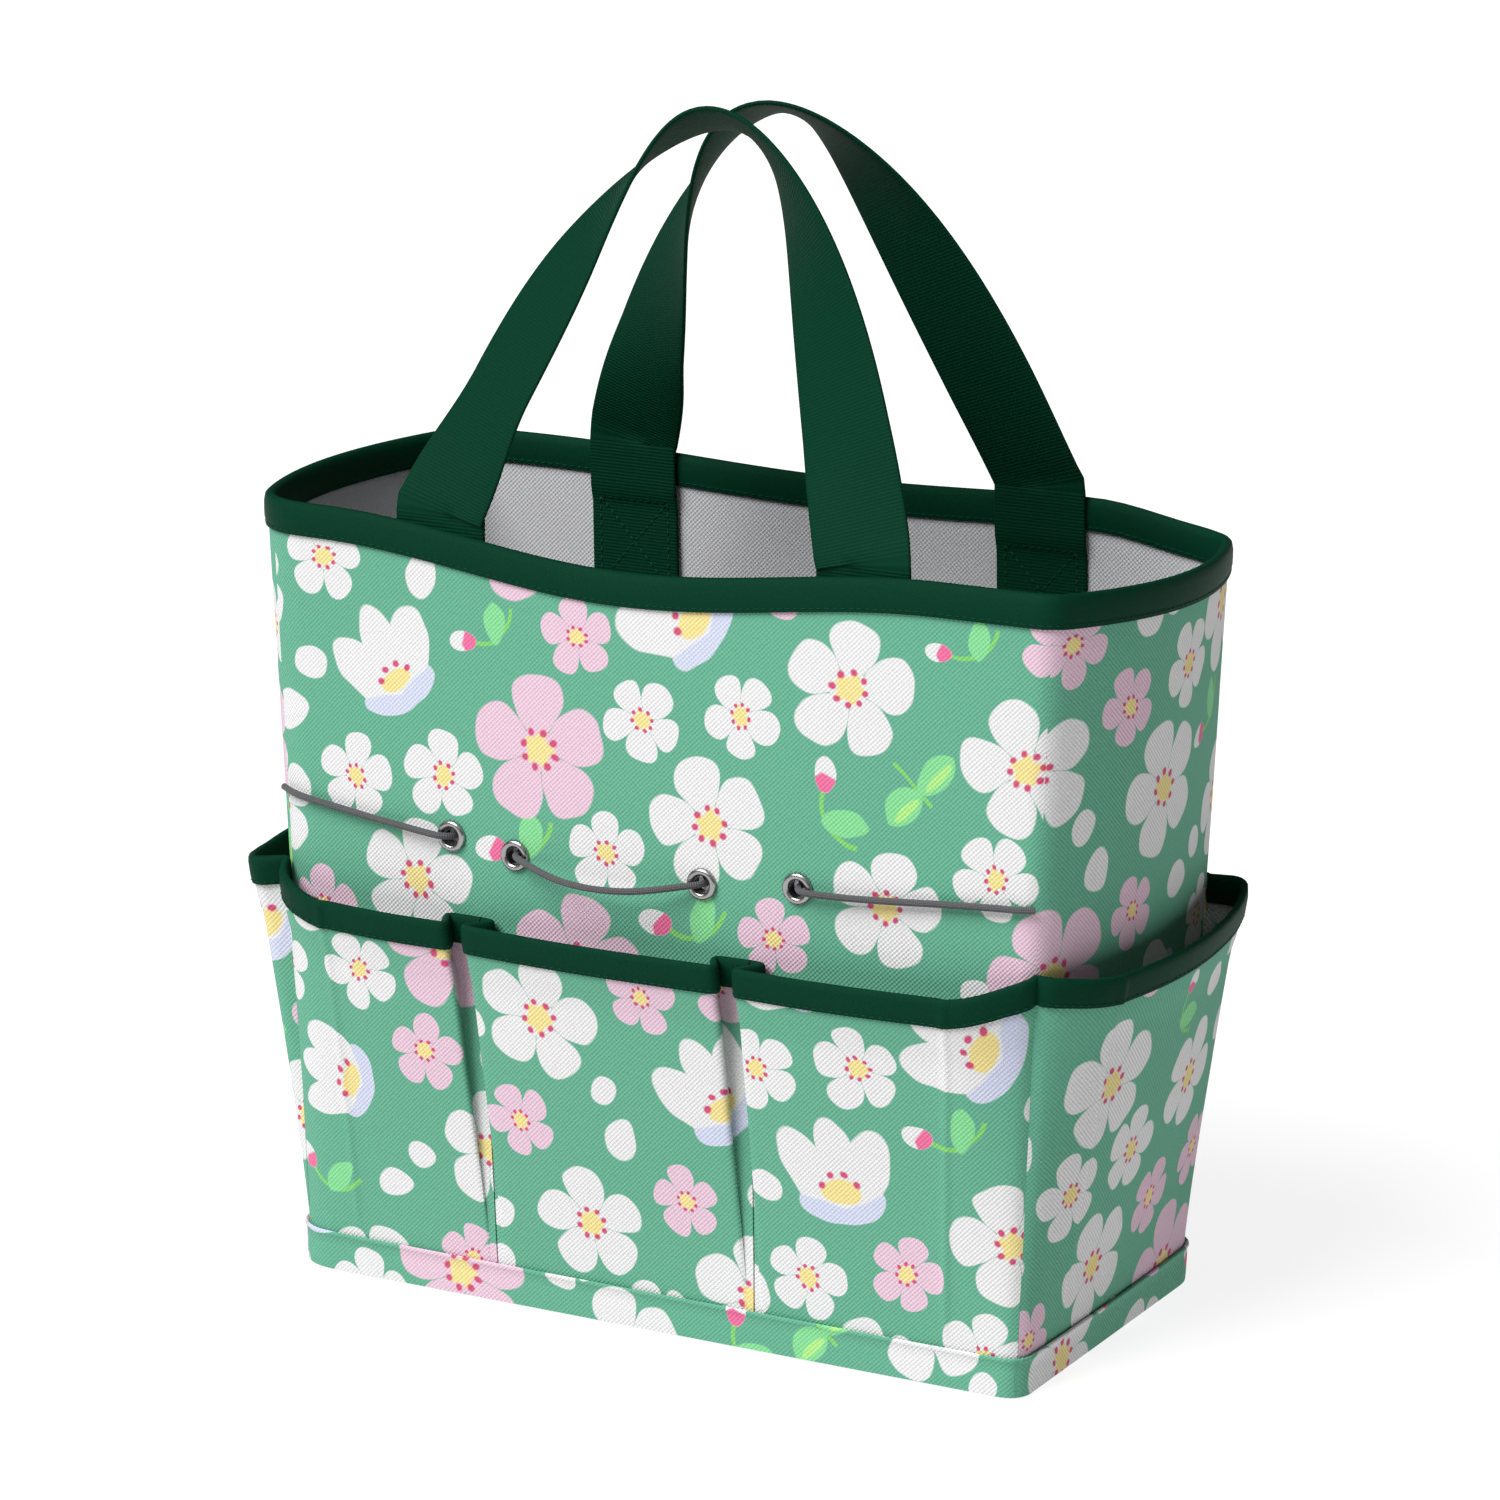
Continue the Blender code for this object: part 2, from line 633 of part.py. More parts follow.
def strap_rows(rise, lean, twist_at_start, twist_at_top):
    """Webbing loop from the left end over the top to the right end, with half a turn of twist."""
    spread = (HANDLE_HALF_SPAN**2 - HANDLE_NOSE * rise) / rise**2
    centres = []
    for share in shares(HANDLE_STATIONS, -1.0, 1.0):
        below = rise * abs(share) ** LIMB_CURVE
        x = math.copysign(math.sqrt(HANDLE_NOSE * below + spread * below**2), share)
        centres.append(Vector((x, 0.0, rise - below)))
    lengths = [0.0]
    for a, b in zip(centres, centres[1:]):
        lengths.append(lengths[-1] + (b - a).length)
    tilt = Matrix.Rotation(-lean, 3, "X")
    rows = []
    for i, centre in enumerate(centres):
        before, after = centres[max(i - 1, 0)], centres[min(i + 1, HANDLE_STATIONS)]
        tangent = (after - before).normalized()
        in_plane = Vector((tangent.z, 0.0, -tangent.x))
        run = lengths[i] / lengths[-1]
        twist = math.pi * (run - TWIST_EASE * math.sin(2 * math.pi * run))
        twist += twist_at_start * (1 - smooth_step(run / START_TWIST_SHARE))
        twist += twist_at_top * math.sin(math.pi * run)
        across = in_plane * math.cos(twist) + Vector((0, -1, 0)) * math.sin(twist)
        free = smooth_step(min(run, 1 - run) / FLAT_END_SHARE)
        across = (Vector((1, 0, 0)) * (1 - free) + across * free).normalized()
        edges = shares(2, -WEBBING_WIDTH / 2, WEBBING_WIDTH / 2)
        rows.append([tilt @ (centre + across * edge) for edge in edges])
    return rows


def build_handles(collection):
    for wall, rise, lean, twist, facing in (
        ("front", FRONT_HANDLE_RISE, FRONT_LEAN, FRONT_TWIST, 0.0),
        ("rear", REAR_HANDLE_RISE, REAR_LEAN, REAR_TWIST, math.pi),
    ):
        out, height = hinge_line()
        rows = strap_rows(rise, lean, *twist)
        handle = sheet(f"{wall}_handle", rows, WEBBING_THICKNESS, "green_webbing", collection)
        handle.matrix_world = Matrix.Rotation(facing, 4, "Z") @ Matrix.Translation((0.0, -out, height))


def main():
    clear_scene()
    parts = new_collection("garden_tool_bag")
    cutters = new_collection("cutters")
    cutters.hide_render = True
    panels = build_panels(parts)
    build_base(parts)
    build_bands(parts)
    build_rim_binding(parts)
    build_pockets(parts)
    build_pocket_bindings(parts)
    build_eyelets(parts, cutters, panels)
    build_cords(parts)
    build_tabs(parts)
    build_handles(parts)


main()
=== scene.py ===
"""Looks of the garden tool bag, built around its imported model.

Metres, +Z up, front towards -Y. A place on a wall is (along, height, outward): `along` runs left to
right as seen from outside, and `outward` is the distance from the wall's outer face.
"""

import math

import bmesh
import bpy
from mathutils import Matrix, Vector, noise


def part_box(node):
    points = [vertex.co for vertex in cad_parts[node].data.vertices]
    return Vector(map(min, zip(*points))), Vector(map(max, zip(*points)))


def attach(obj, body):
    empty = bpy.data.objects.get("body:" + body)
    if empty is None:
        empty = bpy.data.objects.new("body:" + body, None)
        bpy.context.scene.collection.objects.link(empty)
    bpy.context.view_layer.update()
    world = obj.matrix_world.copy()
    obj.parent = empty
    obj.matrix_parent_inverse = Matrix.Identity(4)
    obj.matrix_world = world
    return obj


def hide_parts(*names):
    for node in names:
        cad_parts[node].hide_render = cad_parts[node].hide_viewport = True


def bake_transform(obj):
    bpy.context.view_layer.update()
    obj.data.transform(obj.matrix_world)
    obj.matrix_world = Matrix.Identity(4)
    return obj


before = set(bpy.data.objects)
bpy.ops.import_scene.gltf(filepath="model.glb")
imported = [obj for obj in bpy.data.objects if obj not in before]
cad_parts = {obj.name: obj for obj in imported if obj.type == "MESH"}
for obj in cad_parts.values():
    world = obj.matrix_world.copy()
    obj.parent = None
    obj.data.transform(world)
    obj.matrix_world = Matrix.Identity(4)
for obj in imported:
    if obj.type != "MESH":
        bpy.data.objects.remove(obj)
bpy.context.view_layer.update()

# Body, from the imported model
GAP = 0.0003
OUTER_CLOTH = 0.0012
LINING_CLOTH = 0.0009
TAPE = 0.0008
POCKET_CLOTH = 0.0010
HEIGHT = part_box("outer_front_panel")[1].z
HALF_WIDTH_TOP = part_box("outer_front_panel")[1].x
HALF_WIDTH_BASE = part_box("outer_base_panel")[1].x + OUTER_CLOTH + GAP
HALF_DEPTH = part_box("outer_base_panel")[1].y + OUTER_CLOTH + GAP
BULGES = {"long": (0.007, 0.35), "end": (0.021, 0.90)}
RIM_SAGS = {"front": (0.0105, -0.008), "rear": (0.004, 0.0)}
SAG_HALF_SPAN = 0.130
END_RIM_SAG = 0.001
REAR_CORNER_DROP = 0.007
LINING_INNER = OUTER_CLOTH + GAP + LINING_CLOTH
LINING_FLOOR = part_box("lining_base_panel")[0].z
CORNER_RADII = {"front": 0.007, "right": 0.014, "rear": 0.014, "left": 0.018}
RIPPLE = 0.0009
RIPPLE_SCALE = 14.0

# Binding, band and pockets
RIM_BINDING_HEIGHT = 0.0125
POCKET_BINDING_HEIGHT = 0.011
BAND_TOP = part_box("base_band_front")[1].z
POCKET_TOP = 0.152
POCKET_FOOT = 0.0035
POCKET_CORNER_RISE = 0.009
SIDE_POCKET_LIFT = 0.005
POCKET_BULGE = 0.012
CREASE_RIDGE = 0.0007
CREASE_INSET = 0.029
SEAMS = (-0.0635, 0.0465)
SEAM_GAP = 0.0006
FOLD_LEFT = 0.0090
FOLD_RIGHT = 0.0015
STRIP_LEFT = 0.0150
STRIP_RIGHT = 0.0060

# Eyelets, elastic cords and handles. A handle's lean and its twists at start and top are in degrees.
EYELETS = {1: (-0.080, 0.1820), 2: (-0.052, 0.1785), 3: (0.027, 0.1785), 4: (0.066, 0.1820)}
EYELET_RADIUS = 0.0060
EYELET_HOLE = 0.0034
EYELET_CUT = 0.0044
RING_STEPS = 48
CORD_DIAMETER = 0.0026
KNOT_STRAND = 0.0012
KNOT_SCALE = 0.00085
KNOT_SETBACK = 0.0041
WEBBING_WIDTH = 0.038
WEBBING_THICKNESS = 0.0018
HANDLE_HALF_SPAN = 0.088
HANDLE_NOSE = 0.043
HINGE_HEIGHT = 0.304
HINGE_OUT = 0.07205
TAB_LENGTH = 0.062
FLAT_END_SHARE = 0.14
TAB_STEP_GAP = 0.0015
HANDLE_STATIONS = 110
HANDLE_RISES = {"front": 0.154, "rear": 0.148}
HANDLE_LEANS = {"front": 21, "rear": 17}
HANDLE_TWISTS = {"front": (20, 0), "rear": (0, -32)}

# Sewing
STITCH_PITCH = 0.0032
STITCH_LENGTH = 0.0023
STITCH_RADIUS = 0.00028
THREAD_PROUD = 0.0001
FOLD_RADIUS = 0.0034
FOLD_STEPS = 4
WALL_ROWS = 44
POCKET_ROWS = 28
ROUND_STEPS = 5
LEAST_RADIUS = 0.0015

WALLS = ("front", "right", "rear", "left")


# Shape of the walls


def mix(start, end, share):
    return start + (end - start) * share


def smooth_step(share):
    share = min(max(share, 0.0), 1.0)
    return share * share * (3 - 2 * share)


def shares(count, low=0.0, high=1.0):
    return [low + (high - low) * i / count for i in range(count + 1)]


def spans(wall, height):
    """Half the wall's length, and how far its outer face is from the middle before any bulge."""
    half_width = mix(HALF_WIDTH_BASE, HALF_WIDTH_TOP, height / HEIGHT)
    return (half_width, HALF_DEPTH) if wall in ("front", "rear") else (HALF_DEPTH, half_width)


def turned(wall, x, y, z):
    x, y = {"front": (x, y), "right": (-y, x), "rear": (-x, -y), "left": (y, -x)}[wall]
    return Vector((x, y, z))


def wall_bulge(wall, along, height):
    half, _ = spans(wall, height)
    rise = min(height / HEIGHT, 1.0)
    depth, at_rim = BULGES["long" if wall in ("front", "rear") else "end"]
    share = min(abs(along) / half, 1.0)
    upright = at_rim * height / HEIGHT + (1 - at_rim) * math.sin(math.pi * rise)
    bulge = depth * (1 - share**2) * upright
    place = turned(wall, along, -1.0, height) * RIPPLE_SCALE
    fade = (1 - share**4) * smooth_step(height / 0.05) * smooth_step((HEIGHT - height) / 0.03)
    return bulge + RIPPLE * noise.noise(place) * fade


def wall_point(wall, along, height, inward):
    _, out = spans(wall, height)
    return turned(wall, along, inward - out - wall_bulge(wall, along, height), height)


def section(wall, along, height, inward=0.0):
    """Point of the wall's rounded plan section and the direction straight out of it."""
    half, out = spans(wall, height)
    half -= inward
    side = 1 if along >= 0 else -1
    index = WALLS.index(wall)
    other = WALLS[(index + side) % 4]
    radius = max(CORNER_RADII[wall if side > 0 else other] - inward, LEAST_RADIUS)
    beyond = min(abs(along), half) - (half - radius)
    if beyond <= 0:
        step = 0.0004
        here = wall_point(wall, along, height, inward)
        tangent = wall_point(wall, along + step, height, inward)
        tangent -= wall_point(wall, along - step, height, inward)
    else:
        start = wall_point(wall, side * (half - radius), height, inward)
        other_half = spans(other, height)[0] - inward
        end = wall_point(other, -side * (other_half - radius), height, inward)
        corner = turned(wall, side * half, inward - out, height)
        t = beyond / radius / 2
        here = start * (1 - t) ** 2 + corner * 2 * t * (1 - t) + end * t**2
        tangent = ((corner - start) * (1 - t) + (end - corner) * t) * side
    return here, Vector((tangent.y, -tangent.x, 0.0)).normalized()


def skin(wall, along, height, outward):
    here, normal = section(wall, along, height)
    return here + normal * outward


def wall_frame(wall, along, height, outward=0.0):
    step = 0.001
    here = skin(wall, along, height, outward)
    across = skin(wall, along + step, height, outward) - here
    upward = skin(wall, along, height + step, outward) - here
    out = across.cross(upward).normalized()
    across.normalize()
    return Matrix.LocRotScale(here, Matrix((across, out.cross(across), out)).transposed(), None)


def rim_height(wall, along):
    half, _ = spans(wall, HEIGHT)
    share = min(max(along / half, -1.0), 1.0)
    if wall in RIM_SAGS:
        depth, middle = RIM_SAGS[wall]
        sag = depth * math.cos(math.pi / 2 * min(abs(along - middle) / SAG_HALF_SPAN, 1.0)) ** 2
        if wall == "rear":
            tab_edge = HANDLE_HALF_SPAN + WEBBING_WIDTH / 2
            sag += REAR_CORNER_DROP * smooth_step((-along - tab_edge) / (half - tab_edge))
        return HEIGHT - sag
    drop = REAR_CORNER_DROP * (1 + share) / 2 if wall == "right" else 0.0
    return HEIGHT - drop - END_RIM_SAG * (1 - share**2)


def columns(wall, height, inward=0.0, straight=28):
    """Places along the wall, close together where its corners turn, from corner to corner."""
    half = spans(wall, height)[0] - inward
    index = WALLS.index(wall)
    left = max(CORNER_RADII[WALLS[index - 1]] - inward, LEAST_RADIUS)
    right = max(CORNER_RADII[wall] - inward, LEAST_RADIUS)
    start = [-half + left * i / ROUND_STEPS for i in range(ROUND_STEPS)]
    middle = shares(straight, -half + left, half - right)
    end = [half - right + right * (i + 1) / ROUND_STEPS for i in range(ROUND_STEPS)]
    return start + middle + end


# Mesh building


def mesh_object(name, bm, material):
    bmesh.ops.recalc_face_normals(bm, faces=bm.faces)
    mesh = bpy.data.meshes.new(name)
    bm.to_mesh(mesh)
    bm.free()
    mesh.materials.append(material)
    thing = bpy.data.objects.new(name, mesh)
    bpy.context.scene.collection.objects.link(thing)
    return thing


def on_bag(thing, slot, *nodes):
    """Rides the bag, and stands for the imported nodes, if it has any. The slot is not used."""
    if nodes:
        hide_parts(*nodes)
    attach(thing, "bag")


def thicken(thing, thickness):
    solid = thing.modifiers.new("Thickness", "SOLIDIFY")
    solid.thickness = thickness
    solid.offset = 0.0
    return thing


def apply_modifiers(thing):
    graph = bpy.context.evaluated_depsgraph_get()
    mesh = bpy.data.meshes.new_from_object(thing.evaluated_get(graph))
    thing.modifiers.clear()
    thing.data = mesh


def finished(thing, sharp=50.0):
    """The object with its modifiers applied, shaded smooth apart from its edges."""
    apply_modifiers(thing)
    thing.data.shade_smooth()
    thing.data.set_sharp_from_angle(angle=math.radians(sharp))
    return thing


def add_grid(bm, layer, rows, uv_rows, loop=False):
    """Quads through rows of points, with each point's place on the flat cloth as its UV."""
    grid = [[bm.verts.new(point) for point in row] for row in rows]
    wide = len(grid[0])
    for i in range(len(grid) - 1):
        for j in range(wide if loop else wide - 1):
            k = (j + 1) % wide
            face = bm.faces.new((grid[i][j], grid[i][k], grid[i + 1][k], grid[i + 1][j]))
            corners = ((i, j), (i, j + 1), (i + 1, j + 1), (i + 1, j))
            for corner, (row, column) in zip(face.loops, corners):
                corner[layer].uv = uv_rows[row][column]
    return grid


def sheet(name, grids, thickness, material, weld=True):
    """Cloth of one thickness through the middle of the grids, each (rows, uv_rows)."""
    bm = bmesh.new()
    layer = bm.loops.layers.uv.new("cloth")
    for rows, uv_rows in grids:
        add_grid(bm, layer, rows, uv_rows)
    if weld:
        bmesh.ops.remove_doubles(bm, verts=bm.verts, dist=1e-6)
    return thicken(mesh_object(name, bm, material), thickness)


def loft(name, rings, material, uv_rows, closed=False):
    """A tube of any section through matching closed rings, with capped ends or joined to itself."""
    bm = bmesh.new()
    layer = bm.loops.layers.uv.new("cloth")
    grid = add_grid(bm, layer, rings, uv_rows, loop=True)
    if closed:
        for j in range(len(grid[0])):
            k = (j + 1) % len(grid[0])
            face = bm.faces.new((grid[-1][j], grid[-1][k], grid[0][k], grid[0][j]))
            step = uv_rows[-1][0][0] - uv_rows[-2][0][0]
            last, column = uv_rows[-1], (j, j + 1, j + 1, j)
            for corner, c, ahead in zip(face.loops, column, (0, 0, step, step)):
                corner[layer].uv = (last[c][0] + ahead, last[c][1])
    else:
        bm.faces.new(grid[0])
        bm.faces.new(grid[-1])
    return mesh_object(name, bm, material)


def running_lengths(points):
    lengths = [0.0]
    for a, b in zip(points, points[1:]):
        lengths.append(lengths[-1] + (b - a).length)
    return lengths


def strip_uv(centres, around):
    """UVs of a loft: distance along it, and distance round its section."""
    return [[(length, v) for v in around] for length in running_lengths(centres)]


def tube(name, centres, radius, material, sides=12):
    """A round tube through the points, with flat capped ends."""
    tangents = []
    for i in range(len(centres)):
        ahead, behind = centres[min(i + 1, len(centres) - 1)], centres[max(i - 1, 0)]
        tangents.append((ahead - behind).normalized())
    across = tangents[0].orthogonal().normalized()
    rings = []
    for centre, tangent in zip(centres, tangents):
        across = (across - tangent * across.dot(tangent)).normalized()
        other = tangent.cross(across)
        turn = [2 * math.pi * k / sides for k in range(sides)]
        rings.append([centre + (across * math.cos(a) + other * math.sin(a)) * radius for a in turn])
    around = [2 * math.pi * radius * k / sides for k in range(sides + 1)]
    return loft(name, rings, material, strip_uv(centres, around))


def smooth_curve(points, steps):
    """Points of a Catmull-Rom curve through `points`."""
    padded = [2 * points[0] - points[1], *points, 2 * points[-1] - points[-2]]
    curve = []
    for a, b, c, d in zip(padded, padded[1:], padded[2:], padded[3:]):
        for step in range(steps):
            t = step / steps
            bend = (2 * a - 5 * b + 4 * c - d) * t**2 + (3 * (b - c) + d - a) * t**3
            curve.append(0.5 * (2 * b + (c - a) * t + bend))
    return [*curve, points[-1]]


def stitches(name, runs, material, radius=STITCH_RADIUS):
    """Sewn thread showing as short raised dashes along each run of (point, normal) pairs."""
    bm = bmesh.new()
    for run in runs:
        lengths = running_lengths([point for point, _ in run])
        count = int(lengths[-1] / STITCH_PITCH)
        at = 0
        for k in range(count):
            middle = (k + 0.5) * lengths[-1] / count
            ends = []
            for offset in (-STITCH_LENGTH / 2, 0.0, STITCH_LENGTH / 2):
                goal = middle + offset
                while at > 0 and lengths[at] > goal:
                    at -= 1
                while at < len(lengths) - 2 and lengths[at + 1] < goal:
                    at += 1
                t = (goal - lengths[at]) / max(lengths[at + 1] - lengths[at], 1e-9)
                ends.append((run[at][0].lerp(run[at + 1][0], t), run[at][1]))
            along = (ends[2][0] - ends[0][0]).normalized()
            up = ends[1][1].normalized()
            side = along.cross(up) * radius
            low, high = [], []
            for share, (point, normal) in zip((0.55, 1.0, 0.55), ends):
                lift = up * radius * (1.0 if share == 1.0 else 0.2)
                low.append(bm.verts.new(point + side * share + lift * 0.2))
                high.append(bm.verts.new(point - side * share + lift * 0.2))
                low.append(bm.verts.new(point + side * 0.6 * share + lift))
                high.append(bm.verts.new(point - side * 0.6 * share + lift))
            for a, b in ((0, 2), (2, 4)):
                bm.faces.new((low[a], low[b], low[b + 1], low[a + 1]))
                bm.faces.new((high[a + 1], high[b + 1], high[b], high[a]))
                bm.faces.new((low[a + 1], low[b + 1], high[b + 1], high[a + 1]))
                bm.faces.new((low[b], low[a], high[a], high[b]))
            bm.faces.new((low[0], low[1], high[1], high[0]))
            bm.faces.new((low[5], low[4], high[4], high[5]))
    thing = mesh_object(name, bm, material)
    thing.data.shade_smooth()
    return thing


# Materials


class Nodes:
    """Short names for building a shader node tree."""

    def __init__(self, name):
        self.material = bpy.data.materials.new(name)
        self.material.use_nodes = True
        self.tree = self.material.node_tree
        self.shader = self.tree.nodes["Principled BSDF"]

    def new(self, kind, **settings):
        node = self.tree.nodes.new(kind)
        for key, value in settings.items():
            setattr(node, key, value)
        return node

    def put(self, socket, value):
        if isinstance(value, bpy.types.NodeSocket):
            self.tree.links.new(value, socket)
        else:
            socket.default_value = value

    def math(self, operation, a, b=0.0, c=0.0, clamp=False):
        node = self.new("ShaderNodeMath", operation=operation, use_clamp=clamp)
        for socket, value in zip(node.inputs, (a, b, c)):
            self.put(socket, value)
        return node.outputs[0]

    def add(self, a, b):
        return self.math("ADD", a, b)

    def sub(self, a, b):
        return self.math("SUBTRACT", a, b)

    def mul(self, a, b):
        return self.math("MULTIPLY", a, b)

    def vector(self, operation, a, b=(0.0, 0.0, 0.0), scale=None):
        node = self.new("ShaderNodeVectorMath", operation=operation)
        self.put(node.inputs[0], a)
        if scale is None:
            self.put(node.inputs[1], b)
        else:
            self.put(node.inputs["Scale"], scale)
        return node.outputs["Value" if operation in ("LENGTH", "DOT_PRODUCT") else "Vector"]

    def split(self, vector):
        node = self.new("ShaderNodeSeparateXYZ")
        self.put(node.inputs[0], vector)
        return node.outputs[0], node.outputs[1], node.outputs[2]

    def join(self, x, y, z=0.0):
        node = self.new("ShaderNodeCombineXYZ")
        for socket, value in zip(node.inputs, (x, y, z)):
            self.put(socket, value)
        return node.outputs[0]

    def colour(self, share, low, high):
        node = self.new("ShaderNodeMix", data_type="RGBA")
        self.put(node.inputs[0], share)
        self.put(node.inputs[6], low if not isinstance(low, tuple) else (*low, 1.0))
        self.put(node.inputs[7], high if not isinstance(high, tuple) else (*high, 1.0))
        return node.outputs[2]

    def inside(self, distance, soft):
        """1 where the distance is positive, with a soft edge."""
        return self.math("MULTIPLY_ADD", distance, 1.0 / soft, 0.5, clamp=True)

    def most(self, a, b):
        return self.math("MAXIMUM", a, b)

    def least(self, a, b):
        return self.math("MINIMUM", a, b)

    def turned(self, vector, angle):
        node = self.new("ShaderNodeVectorRotate", rotation_type="Z_AXIS")
        self.put(node.inputs["Vector"], vector)
        self.put(node.inputs["Angle"], angle)
        return node.outputs[0]

    def paint(self, picture, shape, soft, seen, colour):
        """The picture with the shape's inside coloured, where `seen` is 1."""
        return self.colour(self.mul(self.inside(shape, soft), seen), picture, colour)

    def noise(self, vector, scale, detail=2.0):
        node = self.new("ShaderNodeTexNoise", noise_dimensions="3D")
        self.put(node.inputs["Vector"], vector)
        node.inputs["Scale"].default_value = scale
        node.inputs["Detail"].default_value = detail
        return node.outputs[0], node.outputs[1]

    def uv(self):
        return self.new("ShaderNodeUVMap", uv_map="cloth").outputs[0]

    def bump(self, height, distance, strength=0.7):
        node = self.new("ShaderNodeBump")
        node.inputs["Strength"].default_value = strength
        node.inputs["Distance"].default_value = distance
        self.put(node.inputs["Height"], height)
        self.put(self.shader.inputs["Normal"], node.outputs[0])

    def surface(self, colour, roughness, metallic=0.0, sheen=0.0, specular=0.5, glow=0.0):
        if isinstance(colour, tuple):
            colour = (*colour, 1.0)
        self.put(self.shader.inputs["Base Color"], colour)
        self.put(self.shader.inputs["Roughness"], roughness)
        self.shader.inputs["Metallic"].default_value = metallic
        self.shader.inputs["Sheen Weight"].default_value = sheen
        self.shader.inputs["Specular IOR Level"].default_value = specular
        self.shader.inputs["Emission Strength"].default_value = glow
        return self.material


# Colours, as linear light
GREEN = (0.105, 0.335, 0.222)
PETAL_WHITE = (0.63, 0.63, 0.63)
PETAL_PINK = (0.62, 0.44, 0.53)
PETAL_SHADE = (0.50, 0.53, 0.66)
CENTRE_YELLOW = (0.70, 0.58, 0.24)
DOT_PINK = (0.52, 0.065, 0.15)
BUD_PINK = (0.66, 0.13, 0.27)
DARK_GREEN = (0.0016, 0.0310, 0.0160)
LEAF = (0.19, 0.55, 0.24)
LEAF_LIGHT = (0.34, 0.64, 0.20)
STEM = (0.18, 0.50, 0.13)
FLOOR_GREY = (0.25, 0.25, 0.25)
FLOOR_GLOW = 0.84
LINING_GREY = (0.50, 0.50, 0.51)
BOARD_GREY = (0.30, 0.30, 0.31)
CORD_GREY = (0.060, 0.060, 0.064)
GUNMETAL = (0.36, 0.35, 0.355)
THREAD_GREEN = (0.005, 0.045, 0.028)

# Print and weaves
CELL = 0.073
LARGE_BLOSSOM = (0.0215, 0.0285)
SMALL_BLOSSOM = (0.0140, 0.0175)
PRINT_START = (0.31, 0.12)
PRINT_TURN = 17
PRINT_DRIFT = 0.0050
CANVAS_PITCH = 0.0018
TAPE_PITCH = 0.0010
THREAD_PITCH = 0.0008
BOARD_PITCH = 0.004
RIB_PITCH = 0.0013
WARP_PITCH = 0.0016
BRAID_PITCH = 0.0016


def lattice(nodes, place, shift, seed, jitter, sizes):
    """Staggered cells with one motif each: its turned and scaled (x, y), and three random numbers."""
    small, large = sizes
    cells = nodes.vector("SCALE", place, scale=1 / CELL)
    x, y, _ = nodes.split(nodes.vector("ADD", cells, (*shift, 0.0)))
    row = nodes.math("FLOOR", y)
    x = nodes.add(x, nodes.mul(nodes.math("FLOORED_MODULO", row, 2.0), 0.5))
    column = nodes.math("FLOOR", x)
    white = nodes.new("ShaderNodeTexWhiteNoise", noise_dimensions="3D")
    nodes.put(white.inputs["Vector"], nodes.join(column, row, seed))
    first, second, third = nodes.split(white.outputs["Color"])
    x = nodes.sub(nodes.sub(nodes.math("FRACT", x), 0.5), nodes.mul(nodes.sub(first, 0.5), jitter))
    y = nodes.sub(nodes.sub(nodes.math("FRACT", y), 0.5), nodes.mul(nodes.sub(second, 0.5), jitter))
    motif = nodes.turned(nodes.join(x, y), nodes.mul(white.outputs["Value"], 2 * math.pi))
    size = nodes.math("MULTIPLY_ADD", third, (large - small) / CELL, small / CELL)
    return nodes.vector("DIVIDE", motif, nodes.join(size, size, 1.0)), first, second, third


def ellipse(nodes, x, y, centre, half):
    """Positive inside, 0 on the edge, about 1 in the middle."""
    across = nodes.mul(nodes.sub(x, centre[0]), 1 / half[0])
    up = nodes.mul(nodes.sub(y, centre[1]), 1 / half[1])
    return nodes.sub(1.0, nodes.vector("LENGTH", nodes.join(across, up)))


def folded(nodes, angle, radius, count, phase=0.0):
    """(x, y) with the circle folded into one of `count` equal sectors round +X."""
    share = nodes.math("MULTIPLY_ADD", angle, count / (2 * math.pi), phase)
    share = nodes.sub(share, nodes.math("ROUND", share))
    turn = nodes.mul(share, 2 * math.pi / count)
    return nodes.mul(radius, nodes.math("COSINE", turn)), nodes.mul(radius, nodes.math("SINE", turn))


def open_blossom(nodes, ground, place, petal, seen):
    """A five-petalled blossom seen from above, drawn over `ground` where `seen` is 1."""
    x, y, _ = nodes.split(place)
    radius = nodes.vector("LENGTH", nodes.join(x, y))
    angle = nodes.math("ARCTAN2", y, x)
    px, py = folded(nodes, angle, radius, 5)
    fan = nodes.math("DIVIDE", py, nodes.math("MULTIPLY_ADD", px, 0.62, 0.45))
    shape = ellipse(nodes, px, fan, (0.58, 0.0), (0.42, 0.455))
    body = nodes.most(nodes.inside(shape, 0.06), nodes.inside(nodes.sub(0.30, radius), 0.03))
    picture = nodes.colour(nodes.mul(body, seen), ground, petal)
    wavy = nodes.add(radius, nodes.mul(nodes.math("SINE", nodes.mul(angle, 5.0)), 0.035))
    picture = nodes.paint(picture, nodes.sub(0.215, wavy), 0.04, seen, CENTRE_YELLOW)
    dx, dy = folded(nodes, angle, radius, 8, 0.3)
    dots = ellipse(nodes, dx, dy, (0.255, 0.0), (0.052, 0.052))
    return nodes.paint(picture, dots, 0.5, seen, DOT_PINK)


